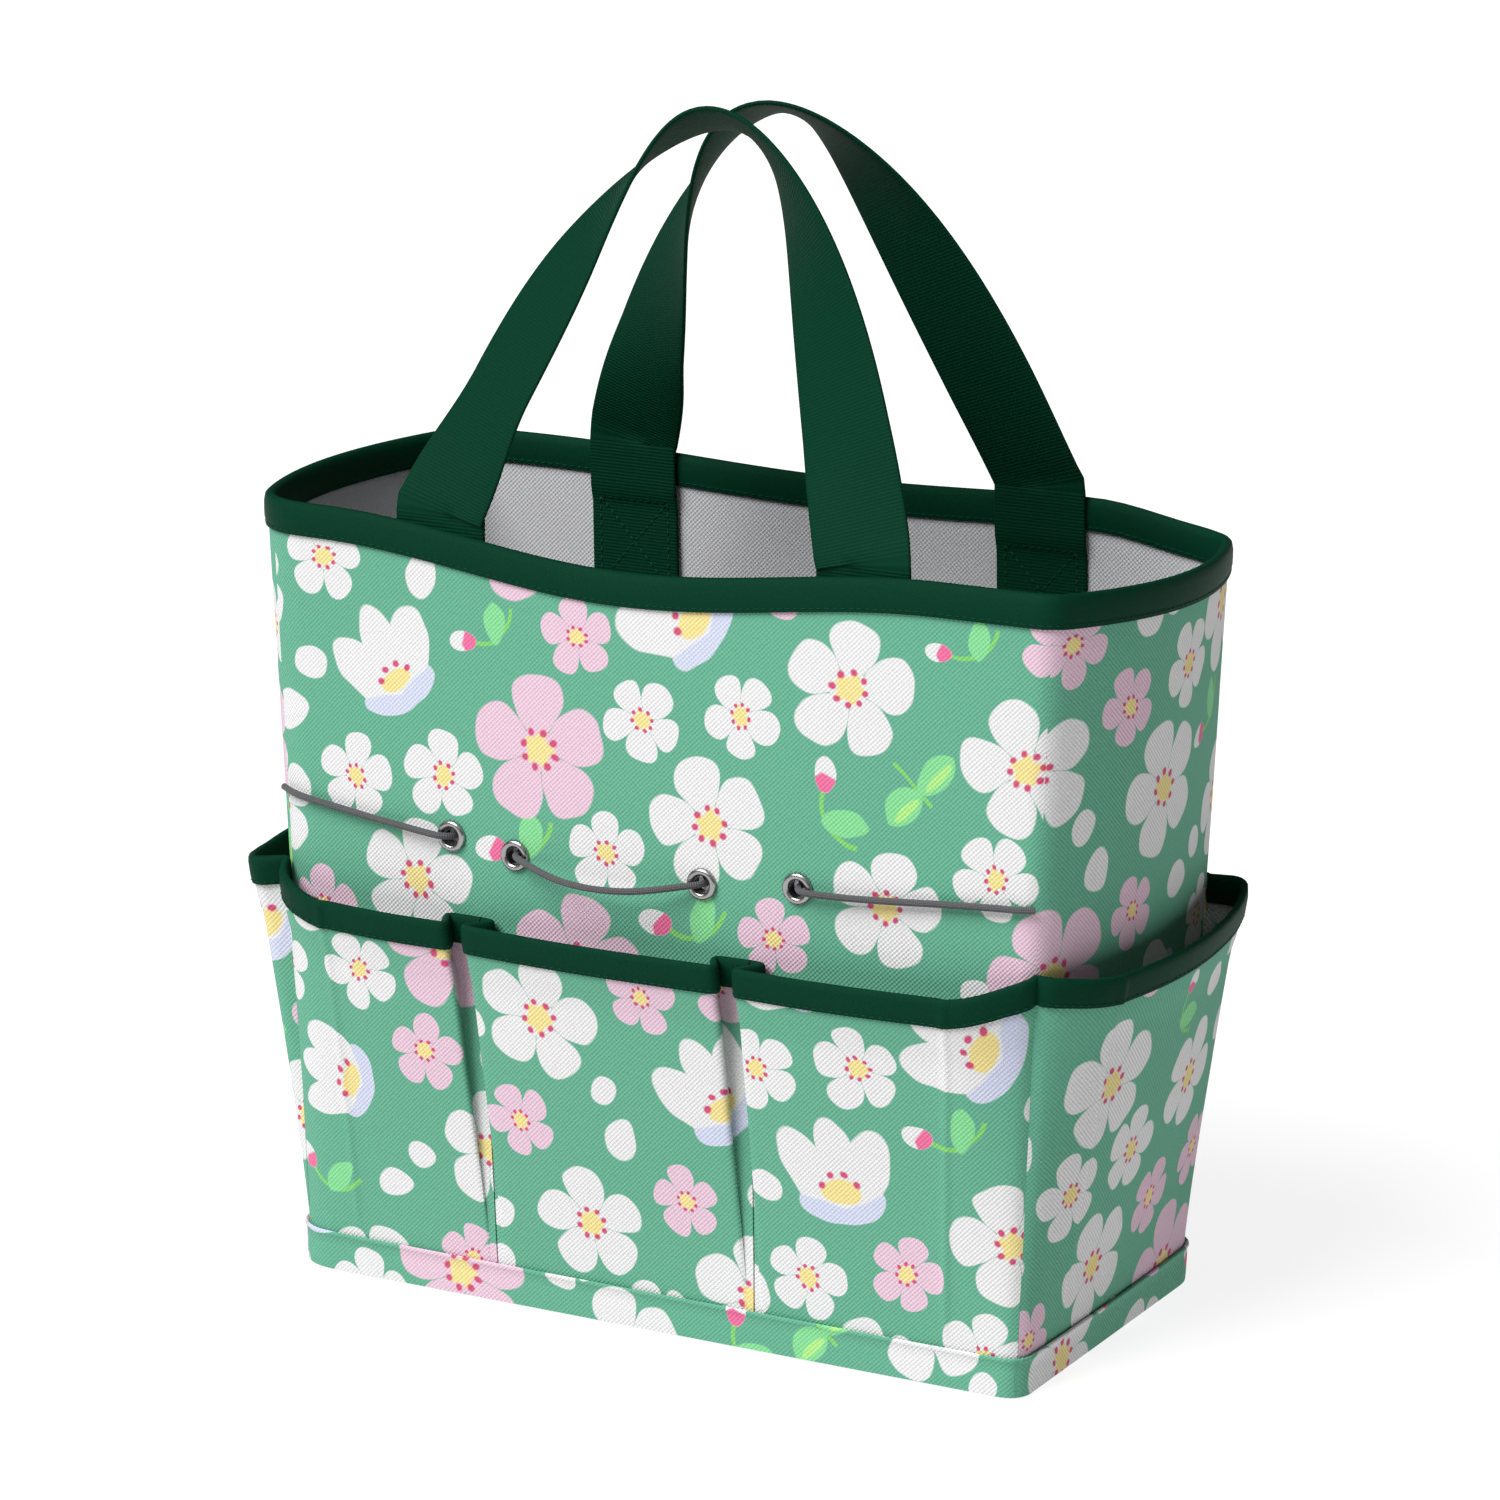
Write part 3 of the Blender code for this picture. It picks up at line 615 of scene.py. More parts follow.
def side_blossom(nodes, ground, place, petal, seen):
    """A blossom seen from the side: three lobes over a shaded cup."""
    x, y, _ = nodes.split(place)
    mirrored = nodes.math("ABSOLUTE", x)
    outer = nodes.join(nodes.sub(mirrored, 0.46), nodes.sub(y, 0.16))
    sx, sy, _ = nodes.split(nodes.turned(outer, math.radians(24)))
    lobes = nodes.most(
        ellipse(nodes, sx, sy, (0.0, 0.0), (0.34, 0.62)),
        ellipse(nodes, x, y, (0.03, 0.30), (0.30, 0.62)),
    )
    cup = ellipse(nodes, x, y, (0.0, -0.32), (0.66, 0.34))
    body = nodes.mul(nodes.inside(nodes.most(lobes, cup), 0.06), seen)
    picture = nodes.colour(body, ground, petal)
    low = nodes.sub(nodes.math("MULTIPLY_ADD", mirrored, 0.35, -0.44), y)
    picture = nodes.paint(picture, low, 0.04, body, PETAL_SHADE)
    heart = ellipse(nodes, x, y, (0.0, -0.20), (0.30, 0.17))
    picture = nodes.paint(picture, heart, 0.1, seen, CENTRE_YELLOW)
    dots = nodes.most(
        ellipse(nodes, mirrored, y, (0.27, -0.10), (0.055, 0.055)),
        ellipse(nodes, mirrored, y, (0.11, 0.04), (0.055, 0.055)),
    )
    return nodes.paint(picture, dots, 0.5, seen, DOT_PINK)


def bud(nodes, ground, place, seen):
    """A pink and white bud on a bent stem, with one leaf."""
    x, y, _ = nodes.split(place)
    arc = nodes.vector("LENGTH", nodes.join(nodes.sub(x, 0.9), y))
    ring = nodes.math("ABSOLUTE", nodes.sub(arc, 0.9))
    part = nodes.least(nodes.sub(0.5, y), nodes.add(y, 1.0))
    stem = nodes.least(nodes.least(nodes.sub(0.055, ring), part), nodes.sub(0.9, x))
    picture = nodes.paint(ground, stem, 0.03, seen, STEM)
    leaf = nodes.least(
        ellipse(nodes, x, y, (0.55, -0.60), (0.62, 0.50)),
        ellipse(nodes, x, y, (0.55, -0.22), (0.62, 0.50)),
    )
    picture = nodes.paint(picture, leaf, 0.06, seen, LEAF)
    tip = ellipse(nodes, x, y, (0.10, 0.66), (0.27, 0.40))
    picture = nodes.paint(picture, tip, 0.08, seen, PETAL_WHITE)
    below = nodes.sub(nodes.sub(0.70, y), nodes.mul(nodes.math("ABSOLUTE", x), 0.5))
    return nodes.paint(picture, nodes.least(tip, below), 0.05, seen, BUD_PINK)


def petals(nodes, ground, place, seen):
    """Two loose petals."""
    x, y, _ = nodes.split(place)
    drop = nodes.math("MULTIPLY_ADD", y, 0.35, 1.0)
    loose = nodes.most(
        ellipse(nodes, nodes.math("DIVIDE", x, drop), y, (-0.35, 0.30), (0.40, 0.58)),
        ellipse(nodes, x, y, (0.62, -0.55), (0.36, 0.44)),
    )
    return nodes.paint(ground, loose, 0.08, seen, PETAL_WHITE)


def leaves(nodes, ground, place, seen):
    """A pair of leaves with a light fold, joined by a short stem."""
    x, y, _ = nodes.split(place)
    mirrored = nodes.math("ABSOLUTE", x)
    stem = nodes.least(nodes.sub(0.05, mirrored), ellipse(nodes, x, y, (0.0, 0.35), (0.3, 0.7)))
    picture = nodes.paint(ground, stem, 0.03, seen, STEM)
    leaf = nodes.least(
        ellipse(nodes, mirrored, y, (0.62, -0.10), (0.70, 0.62)),
        ellipse(nodes, mirrored, y, (0.62, 0.34), (0.70, 0.62)),
    )
    picture = nodes.paint(picture, leaf, 0.06, seen, LEAF)
    fold = ellipse(nodes, mirrored, y, (0.62, 0.02), (0.46, 0.13))
    return nodes.paint(picture, fold, 0.2, seen, LEAF_LIGHT)


def between(nodes, value, low, high):
    return nodes.mul(nodes.math("GREATER_THAN", value, low), nodes.math("LESS_THAN", value, high))


def weave_height(nodes, uv, pitch):
    """Plain weave: raised warp and weft crossings."""
    x, y, _ = nodes.split(uv)
    warp = nodes.math("SINE", nodes.mul(x, 2 * math.pi / pitch))
    weft = nodes.math("SINE", nodes.mul(y, 2 * math.pi / pitch))
    return nodes.mul(warp, weft)


def printed_cloth():
    """Canvas with a tossed print of blossoms, loose petals, buds and leaves on green."""
    nodes = Nodes("printed_cloth")
    uv = nodes.uv()
    _, drift = nodes.noise(uv, 55.0, 1.0)
    drift = nodes.vector("SCALE", nodes.vector("SUBTRACT", drift, (0.5,) * 3), scale=PRINT_DRIFT)
    place = nodes.turned(nodes.vector("ADD", uv, drift), math.radians(PRINT_TURN))
    x, y = PRINT_START
    large, a, _, c = lattice(nodes, place, (x, y), 1.0, 0.06, LARGE_BLOSSOM)
    one, d, _, e = lattice(nodes, place, (x - 0.5, y - 0.375), 2.0, 0.05, SMALL_BLOSSOM)
    two, f, _, g = lattice(nodes, place, (x, y - 0.625), 3.0, 0.05, SMALL_BLOSSOM)
    picture = nodes.colour(0.0, GREEN, GREEN)
    picture = bud(nodes, picture, one, nodes.math("GREATER_THAN", d, 0.55))
    petal = nodes.colour(nodes.math("LESS_THAN", e, 0.45), PETAL_WHITE, PETAL_PINK)
    picture = open_blossom(nodes, picture, one, petal, nodes.math("LESS_THAN", d, 0.55))
    picture = leaves(nodes, picture, two, nodes.math("GREATER_THAN", f, 0.82))
    picture = petals(nodes, picture, two, between(nodes, f, 0.50, 0.82))
    petal = nodes.colour(nodes.math("LESS_THAN", g, 0.60), PETAL_WHITE, PETAL_PINK)
    picture = open_blossom(nodes, picture, two, petal, nodes.math("LESS_THAN", f, 0.50))
    petal = nodes.colour(nodes.math("GREATER_THAN", c, 0.85), PETAL_WHITE, PETAL_PINK)
    picture = open_blossom(nodes, picture, large, petal, nodes.math("LESS_THAN", a, 0.72))
    picture = side_blossom(nodes, picture, large, PETAL_WHITE, nodes.math("GREATER_THAN", a, 0.72))
    weave = weave_height(nodes, uv, CANVAS_PITCH)
    soft, _ = nodes.noise(uv, 900.0, 2.0)
    shade = nodes.math("MULTIPLY_ADD", weave, 0.085, 0.965)
    shade = nodes.mul(shade, nodes.math("MULTIPLY_ADD", soft, 0.10, 0.95))
    nodes.bump(weave, 0.00018)
    return nodes.surface(nodes.vector("SCALE", picture, scale=shade), 0.80, sheen=0.03, specular=0.2)


def plain_weave(name, colour, pitch, depth, roughness):
    """Plain woven cloth of one colour."""
    nodes = Nodes(name)
    uv = nodes.uv()
    weave = weave_height(nodes, uv, pitch)
    soft, _ = nodes.noise(uv, 700.0, 2.0)
    broad, _ = nodes.noise(uv, 25.0, 2.0)
    shade = nodes.math("MULTIPLY_ADD", weave, 0.10, 1.0)
    shade = nodes.mul(shade, nodes.math("MULTIPLY_ADD", soft, 0.2, 0.9))
    shade = nodes.mul(shade, nodes.math("MULTIPLY_ADD", broad, 0.12, 0.94))
    nodes.bump(weave, depth)
    tinted = nodes.vector("SCALE", nodes.colour(0.0, colour, colour), scale=shade)
    return nodes.surface(tinted, roughness, specular=0.03)


def webbing():
    """Dark green webbing: a fine rib across it."""
    nodes = Nodes("green_webbing")
    uv = nodes.uv()
    x, y, _ = nodes.split(uv)
    rib = nodes.math("SINE", nodes.mul(x, 2 * math.pi / RIB_PITCH))
    warp = nodes.math("SINE", nodes.mul(y, 2 * math.pi / WARP_PITCH))
    weave = nodes.mul(rib, nodes.math("MULTIPLY_ADD", warp, 0.4, 0.6))
    soft, _ = nodes.noise(uv, 500.0, 2.0)
    shade = nodes.math("MULTIPLY_ADD", weave, 0.10, 0.95)
    shade = nodes.mul(shade, nodes.math("MULTIPLY_ADD", soft, 0.2, 0.9))
    nodes.bump(weave, 0.00015)
    colour = nodes.colour(0.0, DARK_GREEN, DARK_GREEN)
    return nodes.surface(nodes.vector("SCALE", colour, scale=shade), 0.6, specular=0.03)


def gunmetal():
    """Dark plated metal with fine scuffs."""
    nodes = Nodes("gunmetal")
    place = nodes.new("ShaderNodeTexCoord").outputs["Object"]
    fine, _ = nodes.noise(place, 900.0, 3.0)
    rough = nodes.math("MULTIPLY_ADD", fine, 0.15, 0.20)
    nodes.bump(fine, 0.00003, 0.4)
    return nodes.surface(GUNMETAL, rough, metallic=1.0)


def braided_elastic():
    """Grey cord with a crossed braid."""
    nodes = Nodes("braided_elastic")
    x, y, _ = nodes.split(nodes.uv())
    one = nodes.math("SINE", nodes.mul(nodes.add(x, y), 2 * math.pi / BRAID_PITCH))
    two = nodes.math("SINE", nodes.mul(nodes.sub(x, y), 2 * math.pi / BRAID_PITCH))
    weave = nodes.mul(one, two)
    shade = nodes.math("MULTIPLY_ADD", weave, 0.25, 1.0)
    nodes.bump(weave, 0.0002, 0.8)
    colour = nodes.colour(0.0, CORD_GREY, CORD_GREY)
    return nodes.surface(nodes.vector("SCALE", colour, scale=shade), 0.6, sheen=0.1)


def floor_material():
    """Pale floor that glows a little, so that shadows on it stay light."""
    return Nodes("studio_floor").surface(FLOOR_GREY, 0.6, specular=0.0, glow=FLOOR_GLOW)


PRINT = printed_cloth()
LINING = plain_weave("lining_cloth", LINING_GREY, CANVAS_PITCH, 0.00015, 0.80)
BINDING = plain_weave("binding_tape", DARK_GREEN, TAPE_PITCH, 0.00010, 0.50)
WEBBING = webbing()
THREAD = plain_weave("green_thread", THREAD_GREEN, THREAD_PITCH, 0.0001, 0.55)
METAL = gunmetal()
ELASTIC = braided_elastic()


# Body


def wall_uv(wall, along, height):
    """Place on the flat cloth. The four walls lie side by side on it."""
    middle = HEIGHT / 2
    before = 0.0
    for other in WALLS[: WALLS.index(wall)]:
        before += 2 * spans(other, middle)[0]
    return before + spans(wall, middle)[0] + along, height


def shell(name, inward, thickness, bottom, material):
    """All four walls in one skin, whose middle is `inward` from the outer face."""
    grids = []
    for wall in WALLS:
        rows, uv_rows = [], []
        rims = [rim_height(wall, along) for along in columns(wall, HEIGHT)]
        for share in shares(WALL_ROWS):
            row, uv_row = [], []
            for j, rim in enumerate(rims):
                height = mix(bottom, rim, share)
                along = columns(wall, height, inward)[j]
                here, _ = section(wall, along, height, inward)
                row.append(here)
                uv_row.append(wall_uv(wall, along, height))
            rows.append(row)
            uv_rows.append(uv_row)
        grids.append((rows, uv_rows))
    return sheet(name, grids, thickness, material)


def floor_panel(name, inward, bottom, thickness, material):
    """A flat rounded panel across the bag."""
    ring = []
    for wall in WALLS:
        for along in columns(wall, bottom, inward, 10)[:-1]:
            here, _ = section(wall, along, bottom, inward)
            ring.append(Vector((here.x, here.y, bottom + thickness / 2)))
    centre = Vector((0.0, 0.0, bottom + thickness / 2))
    rows = [[centre.lerp(point, share) for point in ring] for share in (1.0, 0.97, 0.6, 0.25)]
    bm = bmesh.new()
    layer = bm.loops.layers.uv.new("cloth")
    uv_rows = [[(p.x, p.y + 0.5) for p in row] + [(row[0].x, row[0].y + 0.5)] for row in rows]
    grid = add_grid(bm, layer, rows, uv_rows, loop=True)
    face = bm.faces.new(grid[-1])
    for corner in face.loops:
        corner[layer].uv = (corner.vert.co.x, corner.vert.co.y + 0.5)
    return thicken(mesh_object(name, bm, material), thickness)


def cut_eyelet_holes(thing):
    for number, (along, height) in EYELETS.items():
        bm = bmesh.new()
        bmesh.ops.create_cone(
            bm, cap_ends=True, segments=32, radius1=EYELET_CUT, radius2=EYELET_CUT, depth=0.02
        )
        cutter = mesh_object(f"hole_{number}", bm, METAL)
        cutter.matrix_world = wall_frame("front", along, height)
        cut = thing.modifiers.new("Hole", "BOOLEAN")
        cut.operation = "DIFFERENCE"
        cut.object = cutter
        bpy.context.view_layer.update()
        apply_modifiers(thing)
        bpy.data.objects.remove(cutter)


def build_body():
    outer = shell("outer_shell", OUTER_CLOTH / 2, OUTER_CLOTH, 0.0004, PRINT)
    cut_eyelet_holes(outer)
    on_bag(finished(outer), "printed_cloth", *(f"outer_{wall}_panel" for wall in WALLS))
    middle = LINING_INNER - LINING_CLOTH / 2
    lining = shell("lining_shell", middle, LINING_CLOTH, LINING_FLOOR, LINING)
    cut_eyelet_holes(lining)
    on_bag(finished(lining), "lining_cloth", *(f"lining_{wall}_panel" for wall in WALLS))
    base = floor_panel("base_cloth", OUTER_CLOTH + GAP, 0.0, OUTER_CLOTH, PRINT)
    floor = floor_panel("lining_floor", LINING_INNER + GAP, LINING_FLOOR, LINING_CLOTH, LINING)
    on_bag(finished(base), "printed_cloth", "outer_base_panel")
    on_bag(finished(floor), "lining_cloth", "lining_base_panel")


def fold_section(outer, inner, height, puff=0.0004):
    """Tape folded over an edge, as (inward, up) points: outside leg, top, inside leg and back."""
    top = GAP + TAPE
    a, b = outer - TAPE, inner + TAPE
    middle, reach = (a + b) / 2, (b - a) / 2
    rise = min(reach, 0.0026)
    line = [(a, -height + top), (a - puff * 0.5, -height * 0.88), (a - puff * 0.1, -height * 0.80)]
    line += [(a - puff, -height * 0.66), (a - puff, -height * 0.45), (a - puff * 0.6, -rise)]
    for turn in shares(6)[1:-1]:
        angle = math.pi * (1 - turn)
        line.append((middle + reach * math.cos(angle), top - rise + rise * math.sin(angle)))
    line += [(b + puff * 0.6, -rise), (b + puff, -height * 0.45), (b + puff, -height * 0.66)]
    line += [(b + puff * 0.1, -height * 0.80), (b + puff * 0.5, -height * 0.88), (b, -height + top)]
    line += [(inner, -height + top), (inner, 0.0), (middle, GAP), (outer, 0.0)]
    return [*line, (outer, -height + top)]


def section_lengths(line):
    points = [Vector((*p, 0.0)) for p in line]
    return running_lengths([*points, points[0]])


def build_rim_binding():
    line = fold_section(-GAP, LINING_INNER + GAP, RIM_BINDING_HEIGHT)
    rings, centres = [], []
    thread = {"outside": [], "inside": []}
    for wall in WALLS:
        for along in columns(wall, HEIGHT, 0.0, 40)[:-1]:
            rim = rim_height(wall, along)
            here, normal = section(wall, along, rim)
            ring = []
            for inward, up in line:
                lower, _ = section(wall, along, rim + up)
                ring.append(Vector((lower.x, lower.y, rim + up)) - normal * inward)
            rings.append(ring)
            centres.append(here)
            for name, at, way in (("outside", 2, 1), ("inside", -8, -1)):
                thread[name].append((ring[at] + normal * way * THREAD_PROUD, normal * way))
    uv_rows = strip_uv(centres, section_lengths(line))
    thing = finished(loft("rim_binding", rings, BINDING, uv_rows, closed=True), 60)
    on_bag(thing, "binding_tape", *(f"rim_binding_{wall}" for wall in WALLS))
    runs = [[*run, run[0]] for run in thread.values()]
    on_bag(stitches("rim_stitching", runs, THREAD), "binding_tape")


def build_band():
    """The strip turned up round the foot, with a rolled top edge."""
    inner = 2 * GAP + POCKET_CLOTH
    face, low = inner + 0.0010, 0.0006
    line = [
        (inner, low), (face, low), (face + 0.0001, 0.004), (face + 0.0001, 0.010),
        (face, BAND_TOP - 0.0020), (face + 0.0003, BAND_TOP - 0.0014),
        (face + 0.0006, BAND_TOP - 0.0006), (face + 0.0004, BAND_TOP),
        (face - 0.0002, BAND_TOP + 0.0003), (inner, BAND_TOP - 0.0002),
    ]
    around = section_lengths(line)
    rings, uv_rows = [], []
    for wall in WALLS:
        for along in columns(wall, 0.008, 0.0, 40)[:-1]:
            rings.append([skin(wall, along, height, outward) for outward, height in line])
            u, _ = wall_uv(wall, along, 0.0)
            uv_rows.append([(u + 0.037, v + 0.21) for v in around])
    thing = finished(loft("base_band", rings, PRINT, uv_rows, closed=True), 40)
    on_bag(thing, "printed_cloth", *(f"base_band_{wall}" for wall in WALLS))


# Pockets

# How far the cloth has turned from a corner seam (0) towards its crease (1) and past it.
CORNER_PARTS = (
    0.0, 0.08, 0.18, 0.3, 0.42, 0.54, 0.66, 0.76, 0.84, 0.9, 0.94, 0.97, 1.0, 1.03, 1.06, 1.12,
)


def pocket_ends(wall, number):
    if wall in ("right", "left"):
        return ("corner", -1), ("tuck", 1)
    ends = [("corner", -1), *(("pleat", seam) for seam in SEAMS), ("corner", 1)]
    return ends[number - 1], ends[number]


def pocket_top(wall, along):
    half, _ = spans(wall, POCKET_TOP)
    near = max(0.0, 1 - (half - abs(along)) / CREASE_INSET) ** 1.5
    lift = 0.0 if wall in ("front", "rear") else SIDE_POCKET_LIFT
    return POCKET_TOP + mix(lift, POCKET_CORNER_RISE, near)


def pocket_plan(wall, ends, share):
    """Plan of the cloth's middle at one height, as (along, outward): seam, folds, face and back."""
    height = mix(POCKET_FOOT, POCKET_TOP, share)
    half, _ = spans(wall, height)
    widening = half / spans(wall, 0.0)[0]
    fullness = max(0.0, (height - BAND_TOP) / (POCKET_TOP - BAND_TOP))
    rest = GAP + POCKET_CLOTH / 2
    rest += (TAPE + GAP + 0.0004) * smooth_step((height - POCKET_TOP + 0.024) / 0.012)
    bulge = POCKET_BULGE * fullness**1.2
    (left_kind, left), (right_kind, right) = ends
    corner = []
    for part in CORNER_PARTS:
        rise = math.sin(min(part, 1.0) * math.pi / 2) ** 0.9
        ridge = CREASE_RIDGE * math.exp(-((part - 1.0) / 0.05) ** 2) * smooth_step(fullness * 8)
        corner.append((part * CREASE_INSET, rest + bulge * rise + ridge))
    if left_kind == "corner":
        head = [(along - half, outward) for along, outward in corner]
    else:
        edge = left * widening
        strip = mix(SEAM_GAP + 0.003, STRIP_RIGHT, fullness)
        fold = mix(SEAM_GAP + 0.002, -FOLD_RIGHT, fullness)
        head = [(edge + SEAM_GAP / 2, rest), (edge + strip, rest + bulge * 0.05)]
        head += [(edge + fold, rest + bulge)]
    if right_kind == "corner":
        tail = [(half - along, outward) for along, outward in reversed(corner)]
    elif right_kind == "tuck":
        tail = [(half - 0.005, rest + bulge), (half - 0.001, rest)]
    else:
        edge = right * widening
        strip = mix(SEAM_GAP + 0.003, STRIP_LEFT, fullness)
        fold = mix(SEAM_GAP + 0.002, FOLD_LEFT, fullness)
        tail = [(edge - fold, rest + bulge), (edge - strip, rest + bulge * 0.05)]
        tail += [(edge - SEAM_GAP / 2, rest)]
    plan = [Vector((*point, 0.0)) for point in head]
    for across in shares(14)[1:-1]:
        crown = 1 + 0.12 * math.sin(math.pi * across)
        plan.append(Vector((mix(head[-1][0], tail[0][0], across), rest + bulge * crown, 0.0)))
    return plan + [Vector((*point, 0.0)) for point in tail]


def folds_of(plan):
    """Which points of the plan are folds. Every height rounds the same ones, so its rows match."""
    folds = []
    for i, (a, b, c) in enumerate(zip(plan, plan[1:], plan[2:]), start=1):
        if (a - b).angle(c - b) < math.radians(150):
            folds.append(i)
    return folds


def rounded(plan, folds):
    """The same plan with its folds rounded, as (point, left-hand normal) pairs."""
    points = [plan[0]]
    for i, (a, b, c) in enumerate(zip(plan, plan[1:], plan[2:]), start=1):
        before, after = a - b, c - b
        if i not in folds:
            points.append(b)
            continue
        start = b + before.normalized() * min(FOLD_RADIUS, before.length * 0.48)
        end = b + after.normalized() * min(FOLD_RADIUS, after.length * 0.48)
        for t in shares(FOLD_STEPS):
            points.append(start * (1 - t) ** 2 + b * 2 * t * (1 - t) + end * t**2)
    points.append(plan[-1])
    pairs = []
    for i, here in enumerate(points):
        run = points[min(i + 1, len(points) - 1)] - points[max(i - 1, 0)]
        pairs.append((here, Vector((-run.y, run.x, 0.0)).normalized()))
    return pairs


def pocket_numbers(wall):
    return (1, 2, 3) if wall in ("front", "rear") else (1,)


def pocket_name(wall, number):
    return f"{wall}_pocket_{number}" if wall in ("front", "rear") else f"{wall}_pocket"


def build_pocket(wall, number):
    ends = pocket_ends(wall, number)
    folds = folds_of(pocket_plan(wall, ends, 1.0))
    rows, uv_rows = [], []
    for level in shares(POCKET_ROWS):
        pairs = rounded(pocket_plan(wall, ends, level), folds)
        lengths = running_lengths([point for point, _ in pairs])
        row, uv_row = [], []
        for (point, _), length in zip(pairs, lengths):
            height = mix(POCKET_FOOT, pocket_top(wall, point.x), level)
            row.append(skin(wall, point.x, height, point.y))
            across = length - lengths[-1] / 2 + 0.13 * number + 0.41 * WALLS.index(wall)
            uv_row.append((across, height + 0.6))
        rows.append(row)
        uv_rows.append(uv_row)
    name = pocket_name(wall, number)
    thing = sheet(name + "_cloth", [(rows, uv_rows)], POCKET_CLOTH, PRINT, weld=False)
    on_bag(finished(thing), "printed_cloth", name)


def build_pocket_binding(wall, number):
    ends = pocket_ends(wall, number)
    side = POCKET_CLOTH / 2 + GAP
    line = fold_section(-side, side, POCKET_BINDING_HEIGHT, puff=0.0002)
    top_plan = pocket_plan(wall, ends, 1.0)
    folds = folds_of(top_plan)
    top = rounded(top_plan, folds)
    low_share = 1 - POCKET_BINDING_HEIGHT / (POCKET_TOP - POCKET_FOOT)
    low = rounded(pocket_plan(wall, ends, low_share), folds)
    rings, centres, thread = [], [], []
    for (high_point, high_normal), (low_point, low_normal) in zip(top, low):
        edge = pocket_top(wall, high_point.x)
        ring = []
        for inward, up in line:
            share = min(max(-up / POCKET_BINDING_HEIGHT, 0.0), 1.0)
            point = high_point.lerp(low_point, share)
            normal = high_normal.lerp(low_normal, share).normalized()
            place = point - normal * inward
            ring.append(skin(wall, place.x, edge + up, place.y))
        rings.append(ring)
        centres.append(skin(wall, high_point.x, edge, high_point.y))
        out = (ring[2] - ring[-8]).normalized()
        thread.append((ring[2] + out * THREAD_PROUD, out))
    name = pocket_name(wall, number) + "_binding"
    thing = loft(name + "_tape", rings, BINDING, strip_uv(centres, section_lengths(line)))
    on_bag(finished(thing, 60), "binding_tape", name)
    on_bag(stitches(name + "_stitching", [thread], THREAD), "binding_tape")


# Eyelets and elastic cords


def turned_ring(name, profile, place, material):
    """A (radius, height) profile turned about Z."""
    rings = []
    for k in range(RING_STEPS):
        angle = 2 * math.pi * k / RING_STEPS
        rings.append([Vector((r * math.cos(angle), r * math.sin(angle), z)) for r, z in profile])
    around = section_lengths(profile)
    uv_rows = [[(0.001 * k, v) for v in around] for k in range(RING_STEPS)]
    thing = loft(name, rings, material, uv_rows, closed=True)
    thing.data.transform(place)
    return finished(thing, 35)


def build_eyelets():
    back = LINING_INNER + GAP
    for number, (along, height) in EYELETS.items():
        place = wall_frame("front", along, height)
        hole, rim, low = EYELET_HOLE, EYELET_RADIUS, GAP
        dome = []
        for t in shares(8):
            angle = math.pi * t
            middle, reach = (hole + rim) / 2, (rim - hole) / 2
            dome.append((middle - reach * math.cos(angle), low + 0.0005 + 0.0010 * math.sin(angle)))
        profile = [*dome, (rim, low), (0.0041, low), (0.0040, -back - 0.0012), (hole, -back - 0.0012)]
        ring = turned_ring(f"eyelet_ring_{number}", profile, place, METAL)
        face, edge = -back - 0.0009, -back - 0.0005
        washer = [(0.0043, -back), (0.0060, -back), (0.0060, edge), (0.0055, face)]
        washer += [(0.0048, face), (0.0043, edge)]
        plate = turned_ring(f"eyelet_back_{number}", washer, place, METAL)
        on_bag(ring, "dark_metal", f"eyelet_{number}")
        on_bag(plate, "dark_metal", f"eyelet_washer_{number}")


